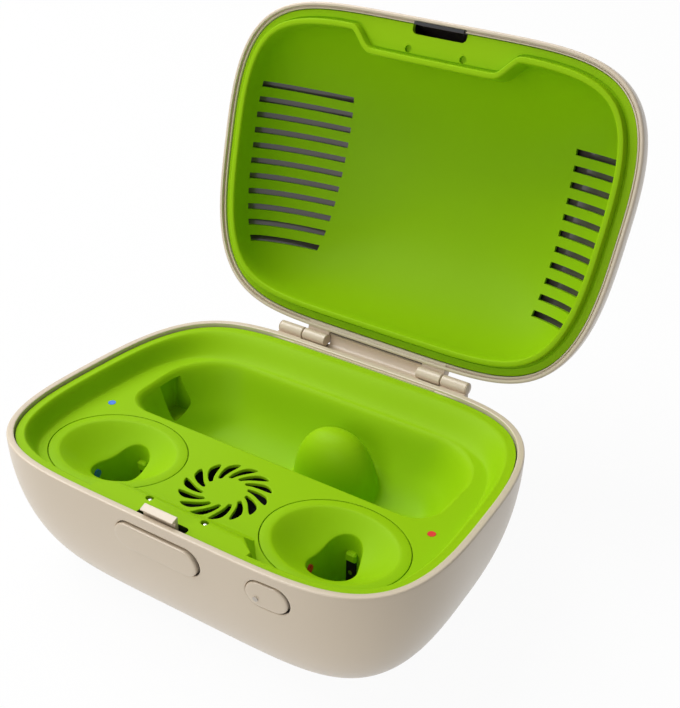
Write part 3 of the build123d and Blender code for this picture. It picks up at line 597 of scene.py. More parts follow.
# Painted shade: the latch keeper is coloured near black to give the shade of the latch slot it sits in.
STEEL_PAINTED_SHADE = Finish("steel_painted_shade", "steel", (0.04, 0.04, 0.042), (0.05, 0.05, 0.052),
                    roughness=0.5, metallic=1.0)
GOLD = Finish("contact_plating", "contact_gold", (0.83, 0.60, 0.22), (0.75, 0.52, 0.18),
              roughness=0.2, metallic=1.0)
ALLOY = Finish("warming_alloy", "heater_metal", (0.70, 0.70, 0.71), (0.60, 0.60, 0.61),
               roughness=0.35, metallic=1.0)
BOARD = Finish("solder_mask", "board_green", (0.01, 0.14, 0.05), (0.02, 0.18, 0.07),
               roughness=0.3, coat=0.3)
POUCH = Finish("cell_pouch", "cell_wrap", (0.35, 0.37, 0.40), (0.45, 0.47, 0.50),
               roughness=0.32, metallic=0.6)
LIGHT = Finish("frosted_light_pipe", "light_pipe", (0.50, 0.45, 0.38), (0.54, 0.48, 0.41),
               roughness=0.3, coat=0.3)


def paint_shade_faces(piece: Piece, finish: Finish, picked: Array) -> None:
    """Gives some of a piece's faces a second finish, a painted shade where shade falls.

    Args:
        piece: The piece, already dressed.
        finish: The painted shade's finish.
        picked: One flag per face.
    """
    piece.data.materials.append(finish.material())
    piece.data.polygons.foreach_set("material_index", picked.astype(np.int32))
    piece.data.update()


def place(piece: Piece, body: Body, finish: Finish, *stands_for: str) -> Piece:
    """Dresses a piece, sets it on its body and hides the nodes that it stands for.

    Args:
        piece: The finished piece.
        body: The body that it rides on.
        finish: Its finish.
        stands_for: CAD nodes that it replaces.

    Returns:
        The piece.
    """
    finish.dress(piece)
    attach(piece, body.value)
    if stands_for:
        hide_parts(*stands_for)
    LOG.info("%s rides on %s, %d faces", piece.name, body.value, len(piece.data.polygons))
    return piece


# ---------------------------------------------------------------- base
OUTLINE = CaseOutline()
OPENED = LidTurn()
DISH = DishOval()


@dataclass
class BaseCase:
    """The base's bulging shell with its rim, button openings and hinge."""

    foot_proud: float = 0.6
    height: float = 33.5
    tuck: float = 15.5
    wall: float = 2.2
    rim_wall: float = 1.6
    flange: float = 2.7
    latch_pill: tuple[float, ...] = (0.0, 27.7, 21.6, 6.6)
    power_pill: tuple[float, ...] = (27.6, 28.2, 9.8, 6.2)
    button_gap: float = 0.2
    latch_proud: float = 0.5
    power_proud: float = 0.14
    latch_aside: float = 0.42
    power_aside: float = 0.26
    foot_at: Pair = (28.0, 16.0)
    foot_radius: float = 4.65
    foot_seat_z: float = 1.35
    screw_radius: float = 2.15
    screw_seat_z: float = 3.3
    socket_size: Pair = (9.5, 3.8)
    socket_z: float = 7.45

    @property
    def rim_z(self) -> float:
        """Height of the rim."""
        return self.foot_proud + self.height

    def belly_ring(self, share: float, wall: float) -> Array:
        """A ring of the elliptical side: u = sin(a), drawn in by tuck (1 - cos(a)), a from rim to floor.

        Args:
            share: a as a share of a quarter turn, 0 at the rim.
            wall: Distance inside the outer face.

        Returns:
            The ring.
        """
        a = share * pi / 2
        return OUTLINE.scaled(self.rim_z - (self.height - wall) * sin(a), wall + self.tuck * (1 - cos(a)))

    def front_y(self, x: Array, z: Array) -> Array:
        """The y of the shell's front face at x and z: the ring at z solved for its unit Y.

        Args:
            x: Places across.
            z: Heights.

        Returns:
            y values.
        """
        u = (self.rim_z - z) / self.height
        inset = self.tuck * (1 - np.sqrt(1 - u * u))
        unit_y = np.full_like(x, -1.0)
        for _ in range(12):
            unit_x = np.abs(x) / ((OUTLINE.half_x - inset) * (1 - OUTLINE.flare * unit_y))
            unit_y = -((1 - unit_x ** OUTLINE.side_power) ** (1 / OUTLINE.end_power))
        return (OUTLINE.half_y - inset) * unit_y

    def pill_tool(self, spec: tuple[float, ...], aside: float) -> Piece:
        """A cutter for a button's opening, its mouth flared to a rounded edge.

        Args:
            spec: Middle x and z, length and height of the button.
            aside: How far the opening is wider at the top and the right.

        Returns:
            The cutter.
        """
        cx, cz, length, tall = spec
        rings = []
        for stand, grow in ((3.0, 1.3), (0.0, 0.3), (-0.06, 0.14), (-0.2, 0.04), (-0.4, 0.0), (-6.0, 0.0)):
            flat = pill(length, tall, 96, -self.button_gap - grow)
            x, z = cx + flat[:, 0] + aside, cz + flat[:, 1] + aside * 0.8
            rings.append(np.stack([x, self.front_y(x, z) - stand, z], axis=1))
        return skin("pill_tool", rings)

    def shell(self) -> Piece:
        """The shell: outer belly, rounded rim, seat of the tray and inner belly."""
        top, rim = self.rim_z, self.rim_wall
        rings = [self.belly_ring(s, 0.0) for s in np.linspace(1.0, 0.02, 44)]
        lip = [(0.0, -0.42), (0.05, -0.2), (0.2, -0.05), (0.42, 0.0), (rim - 0.32, 0.0), (rim - 0.14, -0.04),
               (rim - 0.03, -0.14), (rim, -0.32), (rim, -self.flange), (self.wall, -self.flange)]
        rings += [OUTLINE.offset(top + dz, inset) for inset, dz in lip]
        rings += [self.belly_ring(s, self.wall) for s in np.linspace(0.12, 1.0, 24)]
        case = skin("case_base", rings)
        carve(case, self.pill_tool(self.latch_pill, self.latch_aside))
        carve(case, self.pill_tool(self.power_pill, self.power_aside))
        carve(case, self.socket_tool())
        for along in (-1, 1):
            for across in (-1, 1):
                x, y = along * self.foot_at[0], across * self.foot_at[1]
                carve(case, prism("foot_tool", disc(self.foot_radius, x, y, 64), -1.0, self.foot_seat_z))
                carve(case, prism("screw_tool", disc(self.screw_radius, x, y), 0.5, self.screw_seat_z))
        return soften(case)

    def socket_tool(self) -> Piece:
        """The cutter for the charging socket's opening in the back wall."""
        across, up = pill(*self.socket_size, 64).T
        up = self.socket_z + up
        rings = [np.stack([across, np.full_like(across, y), up], axis=1) for y in (22.0, 45.0)]
        return skin("socket_tool", rings)

    def button(self, name: str, spec: tuple[float, ...], proud: float, body: Body,
               node: str) -> Piece:
        """A pill button whose face follows the shell's curve, its edge rounded.

        Args:
            name: The piece's name.
            spec: Middle x and z, length and height.
            proud: How far it stands out of the shell.
            body: The body it rides on.
            node: The CAD node it stands for.

        Returns:
            The piece.
        """
        cx, cz, length, tall = spec
        edge = [(0.0, -1.1), (0.0, proud - 0.5), (0.04, proud - 0.28), (0.15, proud - 0.1)]
        edge += [(0.34, proud - 0.02), (0.8, proud)] + [(tall / 2 * f, proud) for f in (0.4, 0.6, 0.8, 0.97)]
        rings = []
        for shrink, stand in edge:
            flat = pill(length, tall, 96, shrink)
            x, z = cx + flat[:, 0], cz + flat[:, 1]
            rings.append(np.stack([x, self.front_y(x, z) - stand, z], axis=1))
        return place(soften(skin(name, rings)), body, CHAMPAGNE, node)

    def hinge(self) -> list[Piece]:
        """The two outer knuckles with domed caps, and the hollowed ledge that carries them."""
        y, z, r = OPENED.y, OPENED.z, KNUCKLE_R
        start = HINGE_SPLIT + 0.05
        knuckle = [(start, 0.6), (start, r - 0.15), (start + 0.15, r), (26.75, r), (26.8, r - 0.16),
                   (26.93, r - 0.16), (26.98, r - 0.06), (27.15, r * 0.84), (27.3, r * 0.55), (27.38, r * 0.2)]
        back, seam = OUTLINE.half_y - 2.0, z - 0.7
        foot = [(back, z - 5.5), (y - 2.2, z - 5.5)] + arc(y - 2.2, z - 3.3, 2.2, 270, 360, 8)
        close = [(OUTLINE.half_y - 0.1, seam), (back, seam)]
        ledge = foot + [(y + 1.9, z - 2.6), (y + 1.9, z - 2.0), (y + 1.2, z - 1.66)]
        ledge += arc(y, z, 1.78, -57, -150, 12) + close
        trough = foot + arc(y, z, 2.3, -60, 33, 16) + arc(y, z, 1.9, 36, -150, 30) + close
        web = foot + [(y, z - 0.4), (y - 1.2, z - 0.75), (back, z - 0.75)]
        made = [lathe_x(f"{name}_outer_knuckle", [(side * x, radius) for x, radius in knuckle], y, z)
                for name, side in SIDES]
        made += [spanned(f"{name}_hinge_ledge", ledge, side, HINGE_MIDDLE, HINGE_SPLIT)
                 for name, side in SIDES]
        made.append(extruded("hinge_trough", trough, -HINGE_MIDDLE, HINGE_MIDDLE))
        made += [rounded(spanned(f"{name}_hinge_web", web, side, HINGE_SPLIT, HINGE_END), 0.35)
                 for name, side in SIDES]
        return made

    def inner_faces(self, shell: Piece) -> Array:
        """Flags the shell's faces below the tray's seat that look towards the middle of the case; they get a
        painted shade.

        Args:
            shell: The finished shell.

        Returns:
            One flag per face.
        """
        centres = read(shell.data.polygons, "center") / MM
        towards = np.array([0.0, 0.0, self.rim_z]) - centres
        inward = (read(shell.data.polygons, "normal") * towards).sum(axis=1) > 0
        return inward & (centres[:, 2] < self.rim_z - self.flange + 0.05)

    @staticmethod
    def crevice_faces(ledge: Piece) -> Array:
        """Flags the ledge's faces behind the hinge's axis, where the lid's web lies close over them; they get
        a painted shade for the crevice.

        Args:
            ledge: The finished ledge.

        Returns:
            One flag per face.
        """
        return read(ledge.data.polygons, "center")[:, 1] / MM > OPENED.y + 0.35

    def build(self) -> None:
        """Builds the shell, its buttons and its half of the hinge."""
        shell = place(self.shell(), Body.BASE, CHAMPAGNE, "base_shell")
        # Painted shade on the shell's inner faces, which show through its openings.
        paint_shade_faces(shell, SHELL_PAINTED_SHADE, self.inner_faces(shell))
        self.button("latch_cap", self.latch_pill, self.latch_proud, Body.LATCH, "latch_button")
        self.button("power_cap", self.power_pill, self.power_proud, Body.POWER, "power_button")
        for piece in self.hinge():
            placed = place(soften(piece), Body.BASE, CHAMPAGNE)
            if piece.name.endswith("_hinge_ledge"):
                # Painted shade in the crevice under the lid's web.
                paint_shade_faces(placed, SHELL_PAINTED_SHADE, self.crevice_faces(placed))


@dataclass
class Tray:
    """The green inner tray: border, sloping wall, deck, pocket, land and fan grille."""

    top: float = 33.2
    depth: float = 4.7
    inset: float = 1.85
    border: float = 1.75
    side_run: float = 3.0
    back_run: float = 7.1
    under: float = 1.5
    pocket_x: float = 41.9
    pocket_y: Pair = (-1.8, 27.8)
    pocket_radii: Pair = (6.9, 14.6)
    pocket_steps: tuple[Pair, ...] = (
        (-0.6, -1.6), (0.0, -0.55), (0.06, -0.25), (0.25, 0.1), (0.7, 0.5), (1.6, 1.0), (3.0, 1.6), (5.0, 2.3),
        (7.0, 3.1), (9.0, 4.1), (10.5, 5.1), (12.0, 6.4), (13.2, 7.8), (14.2, 9.3), (14.9, 10.8), (15.3, 12.2))
    mound: tuple[float, ...] = (6.6, 16.4, 11.2, 7.4, 16.4)
    mound_power: float = 2.3
    mound_foot: float = 16.6
    land_end: Triple = (20.7, -37.0, -34.2)
    land_head: Pair = (16.4, -30.9)
    core: Pair = (13.0, -33.6)
    fan_thin: float = 0.7
    fan_y: float = -16.3
    slots: int = 14
    crescent_root: float = 4.75
    crescent_reach: float = 5.5
    notch: Pair = (6.4, -35.35)
    catch_y: Pair = (9.7, 16.7)
    marker: Triple = (44.0, -3.9, 0.95)

    @property
    def deck(self) -> float:
        """Height of the deck."""
        return self.top - self.depth

    def run(self) -> Array:
        """How far the sloping wall runs in at each outline point: longer where the outline faces the back."""
        facing = np.clip(outward(OUTLINE.scaled(0.0, 0.0))[:, 1], 0.0, 1.0)
        weight = facing * facing * (3 - 2 * facing)
        return self.side_run + (self.back_run - self.side_run) * weight

    def slope(self, share: float, grow: float = 0.0) -> Array:
        """A ring of the sloping wall: it drops by depth s^2 (3 - 2 s) over its run."""
        z = self.top - self.depth * share * share * (3 - 2 * share) - grow
        return OUTLINE.offset(z, self.inset + self.border + self.run() * share - grow)

    def pocket_ring(self, drop: float, inset: float, shrink: float = 1.0) -> Array:
        """A ring of the pocket.

        Args:
            drop: Depth below the deck.
            inset: Distance in from the pocket's edge.
            shrink: Scale about the pocket's middle, for the rings of its floor.

        Returns:
            The ring.
        """
        y0, y1 = self.pocket_y[0] + inset, self.pocket_y[1] - inset
        x = self.pocket_x - inset
        front = max(self.pocket_radii[0] - inset / 2, 2.0)
        back = max(min(self.pocket_radii[1], y1 - y0 - front) - max(inset, 0.0) * 0.35, 3.0)
        flat = rounded_box((-x, x), (y0, y1), (front, back), arc=20, side=40)
        if shrink < 1:
            middle = np.array([0.0, (y0 + y1) / 2])
            flat = middle + (flat - middle) * np.array([shrink ** 0.6, shrink])
        return lift(flat, self.deck - drop)

    def mound_body(self) -> Piece:
        """The mound: half a superellipsoid of power n, whose rings shrink by cos(a)^(2/n)."""
        cx, cy, hx, hy, tall = self.mound
        foot = self.deck - self.mound_foot
        rings = []
        for a in np.radians(np.linspace(0.0, 89.0, 24)):
            share, up = cos(a) ** (2 / self.mound_power), sin(a) ** (2 / self.mound_power)
            rings.append(lift(oval(hx * share, hy * share, 80) + np.array([cx, cy]), foot + tall * up))
        return skin("mound", rings)

    def pocket_tool(self, grow: float = 0.0) -> Piece:
        """The pocket's hollow as a closed cutter, or its outside when grown."""
        if grow:
            rings = [self.pocket_ring(max(drop, 0.9) + grow * (drop > 1), max(inset, 0.0) - grow)
                     for drop, inset in self.pocket_steps[2:]]
            return skin("pocket_outside", rings)
        rings = [self.pocket_ring(drop, inset) for drop, inset in self.pocket_steps]
        drop, inset = self.pocket_steps[-1]
        rings += [self.pocket_ring(drop + 0.35 * (1 - s * s), inset, s) for s in np.linspace(0.93, 0.04, 18)]
        return skin("pocket_tool", rings)

    def core_tool(self) -> Piece:
        """The hollow under the land that leaves room for the latch's slide."""
        half, back = self.core
        flat = np.array([(-half, -45.0), (half, -45.0), (half, back), (-half, back)])
        return prism("core_tool", flat, self.deck - 6.0, self.top - 1.1)

    @staticmethod
    def eased(tool: Piece) -> Piece:
        """Softens the pocket's cutter where the mound meets its floor: a fine remesh, then smoothing steps.

        The smoothing fades in over the 4 mm below 27.2 mm, so that the pocket's upper edge stays as drawn.
        """
        remesh = tool.modifiers.new("grid", "REMESH")
        remesh.mode, remesh.voxel_size = "VOXEL", 0.45 * MM
        settle(tool)
        height = read(tool.data.vertices, "co")[:, 2] / MM
        group = tool.vertex_groups.new(name="deep")
        for weight in (0.25, 0.5, 0.75, 1.0):
            group.add(np.nonzero(height < 27.2 - 4.0 * weight)[0].tolist(), weight, "REPLACE")
        smooth = tool.modifiers.new("ease", "SMOOTH")
        smooth.factor, smooth.iterations, smooth.vertex_group = 0.5, 48, "deep"
        return settle(tool)

    def flared(self, name: str, flat: Array, floor: float, edge: float, tall: float = 0.4) -> Piece:
        """An upright cutter through the deck whose mouth is flared into a rounded edge.

        Args:
            name: The cutter's name.
            flat: Its outline on the deck.
            floor: Height of its lower end.
            edge: Radius of the rounded edge.
            tall: Reach above the deck.

        Returns:
            The cutter.
        """
        ring = lift(flat, 0.0)
        rings = [draw_in(ring, -edge * 1.15, self.deck + tall)]
        for a in np.radians((0, 25, 50, 75, 90)):
            z = self.deck - edge * (1 - cos(a)) + (0.005 if a == 0 else 0)
            rings.append(draw_in(ring, -edge * (1 - sin(a)), z))
        rings.append(lift(flat, floor))
        return skin(name, rings)

    def crescent(self, count: int = 26) -> Array:
        """One slot of the grille about the fan's axis, as two flanks in polar form.

        The bulging flank's turn falls evenly with the radius and hooks back near the tip. The hollow
        flank's turn falls as a quarter sine. The outline is then spaced evenly and smoothed once.

        Args:
            count: Points on each flank.

        Returns:
            Array (n, 2), counter-clockwise.
        """
        root, reach = self.crescent_root, self.crescent_reach
        radius = root + reach * np.linspace(0, 1, count)
        share = (radius - root) / reach
        bulge = 5.0 - 17.5 * ((radius - root) / 3.45) - 12.0 * np.clip((radius - 8.2) / 2.05, 0, 1) ** 3.5
        hollow = -5.0 - 24.5 * np.sin(np.clip(share, 0, 1) * pi / 2) - 5.0 * share
        hollow = np.maximum(hollow, bulge[-1] + 0.5)
        bulge = np.maximum(bulge, bulge[-1])

        def polar(degrees: Array) -> Array:
            """A flank's points: a turn from +Y at each radius."""
            a = np.radians(90 + degrees)
            return np.stack([radius * np.cos(a), radius * np.sin(a)], axis=1)

        left, right = polar(bulge), polar(hollow)[::-1]
        outline = np.concatenate([right[1:], left[1:-1]])
        dense = np.concatenate([outline, outline[:1]])
        run = np.concatenate([[0], np.cumsum(np.linalg.norm(np.diff(dense, axis=0), axis=1))])
        at = np.linspace(0, run[-1], 65)[:-1]
        even = np.stack([np.interp(at, run, dense[:, 0]), np.interp(at, run, dense[:, 1])], axis=1)
        even = (np.roll(even, 1, 0) + 2 * even + np.roll(even, -1, 0)) / 4
        area = np.sum(even[:, 0] * np.roll(even[:, 1], -1) - even[:, 1] * np.roll(even[:, 0], -1))
        return even if area > 0 else even[::-1]

    def grille_tool(self) -> Piece:
        """All the grille's slots as one cutter."""
        tools = []
        for number in range(self.slots):
            flat = turned(self.crescent(), 360 * number / self.slots, 0.0, self.fan_y)
            tools.append(self.flared(f"slot_{number}", flat, self.deck - self.under - 1, 0.22))
        return joined("grille_tool", tools)

    def land_tool(self) -> Piece:
        """The land behind the latch: a trapezoid ramped down to the deck, its top edge rounded."""

        def ring(z: float, back: float, side: float) -> Array:
            """The trapezoid grown by back and side at a height; its back edge stays clear of the dishes."""
            end, front, corner = self.land_end
            head_x, head_y = self.land_head
            pts = [(end + side, front), (end + side, corner), (head_x + side - back * 0.57, head_y + back)]
            pts += [(-x, y) for x, y in reversed(pts)]
            return lift(np.array(pts), z)

        foot = [(-0.6, 5.6, 1.7), (-0.02, 5.5, 1.6), (0.03, 5.0, 1.55), (0.12, 4.6, 1.5), (0.3, 4.2, 1.45),
                (0.6, 3.8, 1.35), (1.0, 3.4, 1.2)]
        head = [(0.95, 0.62, 0.25), (0.5, 0.15, 0.1), (0.2, -0.35, -0.05), (0.05, -0.9, -0.2),
                (0.0, -1.5, -0.3)]
        rings = [ring(self.deck + up, back, side) for up, back, side in foot]
        rings += [ring(self.top - down, back, side) for down, back, side in head]
        return skin("land_tool", rings)

    def catch_tool(self, grow: float = 0.0) -> Piece:
        """The upright recess in the pocket's left wall."""
        across = (-self.pocket_x - 0.4 - grow, -self.pocket_x + 5.0)
        flat = rounded_box(across, (self.catch_y[0] - grow, self.catch_y[1] + grow), (0.8, 0.8), 6, 2)
        return prism("catch_tool", flat, self.deck - 11.0 - grow, self.deck - 1.5 + min(grow, 0.5))

    def body(self) -> Piece:
        """The whole tray as one closed piece."""
        foot = self.inset + self.border + self.run()
        rings = [OUTLINE.offset(self.deck - self.under, foot + 0.5)]
        rings += [self.slope(s, self.under) for s in np.linspace(1.0, 0.0, 8)]
        edge = [(0.05, -1.8), (0.0, -0.25), (0.07, -0.07), (0.25, 0.0)]
        rings += [OUTLINE.offset(self.top + dz, self.inset + inset) for inset, dz in edge]
        rings += [self.slope(s) for s in np.linspace(0.0, 1.0, 22)]
        rings.append(OUTLINE.offset(self.deck, foot + 0.6))
        tray = skin("inner_tray_dressed", rings)
        carve(tray, self.pocket_tool(self.under), "UNION")
        carve(tray, self.catch_tool(1.2), "UNION")
        carve(tray, self.land_tool(), "UNION")
        carve(tray, self.core_tool())
        pocket = carve(self.pocket_tool(), self.mound_body())
        carve(tray, self.eased(pocket))
        carve(tray, self.catch_tool())
        marker_x, marker_y, marker_r = self.marker
        for _, side in SIDES:
            carve(tray, self.flared("seat_tool", DISH.ring(side, 0.0), self.deck - 1.2, 0.1, 5.2))
            carve(tray, prism("hole_tool", DISH.ring(side, 0.9), self.deck - 6, self.deck))
            pin, mouth = disc(0.9, side * PIN_X, PIN_Y), disc(1.25, side * PIN_X, PIN_Y)
            bore = [lift(pin, self.deck - 6), lift(pin, self.top - 0.12), lift(mouth, self.top + 0.1)]
            carve(tray, skin("pin_tool", bore))
            dot = disc(marker_r, side * marker_x, marker_y)
            carve(tray, prism("dot_tool", dot, self.deck - 0.8, self.deck + 1))
        thin = disc(11.4, 0.0, self.fan_y, 96)
        carve(tray, prism("thin_tool", thin, self.deck - 4.0, self.deck - self.fan_thin))
        carve(tray, self.grille_tool())
        half, back = self.notch
        notch = rounded_box((-half, half), (-40.0, back), (0.4, 0.9), 6, 2)
        carve(tray, prism("notch_tool", notch, self.deck - 6, self.top + 1))
        return soften(tray, 32.0)

    def build(self) -> None:
        """Builds the tray; the walls of the notch and of the hollow under its land get a painted shade, a
        near-black green.
        """
        tray = place(self.body(), Body.BASE, LIME, "inner_tray")
        x, y, z = (read(tray.data.polygons, "center") / MM).T
        painted_shade_mask = np.zeros(len(z), dtype=bool)
        for (half, back), spare, below in ((self.core, 0.1, 0.9), (self.notch, 0.2, 0.12)):
            painted_shade_mask |= (np.abs(x) < half + spare) & (y < back + spare) & (z < self.top - below)
        # Painted shade on the walls of the notch and of the hollow, where little light reaches.
        paint_shade_faces(tray, LIME_PAINTED_SHADE, painted_shade_mask & (z > self.deck - 6.1))


@dataclass
class Dish:
    """One oval dish with its bowl and its egg-shaped well; side is -1 for the left and 1 for the right."""

    name: str
    side: int
    deck: float = Tray.top - Tray.depth
    groove: float = 0.2
    border: float = 2.5
    depth: float = 6.3
    softness: float = 1.22
    back: Triple = (29.0, -14.3, 4.15)
    front: Triple = (29.6, -19.1, 5.3)
    well_middle: Pair = (29.3, -17.2)
    well_depth: float = 19.5
    lug_drop: float = 8.35
    wall: float = 1.0
    count: int = 180

    def bowl_z(self, flat: Array) -> Array:
        """The bowl's height: deck - depth (1 - s^2)^softness, s being 1 at the bowl's edge."""
        local = turned(flat - np.array([self.side * DISH.x, DISH.y]), self.side * DISH.turn)
        s = np.hypot(local[:, 0] / (DISH.half_x - self.border), local[:, 1] / (DISH.half_y - self.border))
        return self.deck - self.depth * np.clip(1 - s * s, 0.0, None) ** self.softness

    def egg(self, grow: float = 0.0) -> Array:
        """The well's outline: the hull of two circles, as the furthest reach in each direction.

        Args:
            grow: Distance out.

        Returns:
            Array (count, 2), counter-clockwise, starting at the same direction as the oval.
        """
        turn = np.radians(-self.side * DISH.turn) + np.arange(self.count) * TAU / self.count
        centres = [np.array([self.side * x, y]) for x, y, _ in (self.back, self.front)]
        radii = [radius + grow for _, _, radius in (self.back, self.front)]
        away = np.stack([np.cos(turn), np.sin(turn)], axis=1)
        middle = np.array([self.side * self.well_middle[0], self.well_middle[1]])
        reach = np.zeros(self.count)
        for share in np.linspace(0, 1, 41):
            c = centres[0] * (1 - share) + centres[1] * share - middle
            r = radii[0] * (1 - share) + radii[1] * share
            along = away @ c
            inside = along ** 2 - c @ c + r * r
            reach = np.maximum(reach, np.where(inside > 0, along + np.sqrt(np.clip(inside, 0, None)), 0))
        return middle + away * reach[:, None]

    def body(self) -> Piece:
        """The dish: rounded edge, flat border, bowl, well wall and well floor."""

        def ring(shrink: float) -> Array:
            """The dish's oval drawn in."""
            return DISH.ring(self.side, shrink, self.count)

        groove = self.groove
        edge = [(groove, -1.2), (groove, -0.14), (groove + 0.04, -0.04), (groove + 0.14, 0.0),
                (self.border - 0.5, 0.0)]
        outer, egg, skirt = ring(self.border), self.egg(), self.egg(self.wall)
        floor = self.deck - self.well_depth
        under = floor - self.wall
        rings = [lift(self.egg(self.wall - 0.3), under), lift(skirt, under + 0.3)]
        rings.append(lift(skirt, self.bowl_z(skirt) - self.wall))
        for t in np.linspace(0.1, 1.0, 10):
            flat = skirt * (1 - t) + outer * t
            rings.append(lift(flat, np.minimum(self.bowl_z(flat) - self.wall, self.deck - 1.2)))
        rings += [lift(ring(shrink), self.deck + dz) for shrink, dz in edge]
        mouth = self.egg(0.3)
        for t in np.linspace(0.0, 1.0, 26):
            flat = outer * (1 - t) + mouth * t
            rings.append(lift(flat, self.bowl_z(flat) - 0.06 * np.exp(-((1 - t) / 0.03) ** 2)))
        lip = self.bowl_z(mouth)
        for grow, drop in ((0.14, 0.16), (0.04, 0.36), (0.0, 0.7)):
            rings.append(lift(self.egg(grow), lip - drop))
        for share in (0.1, 0.3, 0.6, 0.9):
            rings.append(lift(egg, (lip - 0.75) * (1 - share) + (floor + 1.0) * share))
        for a in np.radians((20, 45, 70, 90)):
            rings.append(lift(self.egg(cos(a) - 1), floor + 1.0 - sin(a)))
        dish = skin(f"dish_{self.name}", rings, pole=True)
        carve(dish, self.lug(), "UNION")
        return soften(dish, 38.0, weighted=False)

    def lug(self) -> Piece:
        """The rounded block on the well's back wall that carries the contacts."""
        x, y, z = self.side * self.back[0], self.back[1] + self.back[2], self.deck - self.lug_drop
        flat = lift(rounded_box((x - 1.3, x + 1.3), (y - 1.25, y + 0.5), (0.5, 0.2), 6, 2), 0.0)
        levels = ((0.35, -1.15), (0.0, -0.8), (0.0, 0.75), (0.35, 1.15))
        return skin("lug", [draw_in(flat, inset, z + dz) for inset, dz in levels])

    def build(self) -> None:
        """Builds the dish."""
        place(self.body(), Body.BASE, LIME, f"{self.name}_dish")


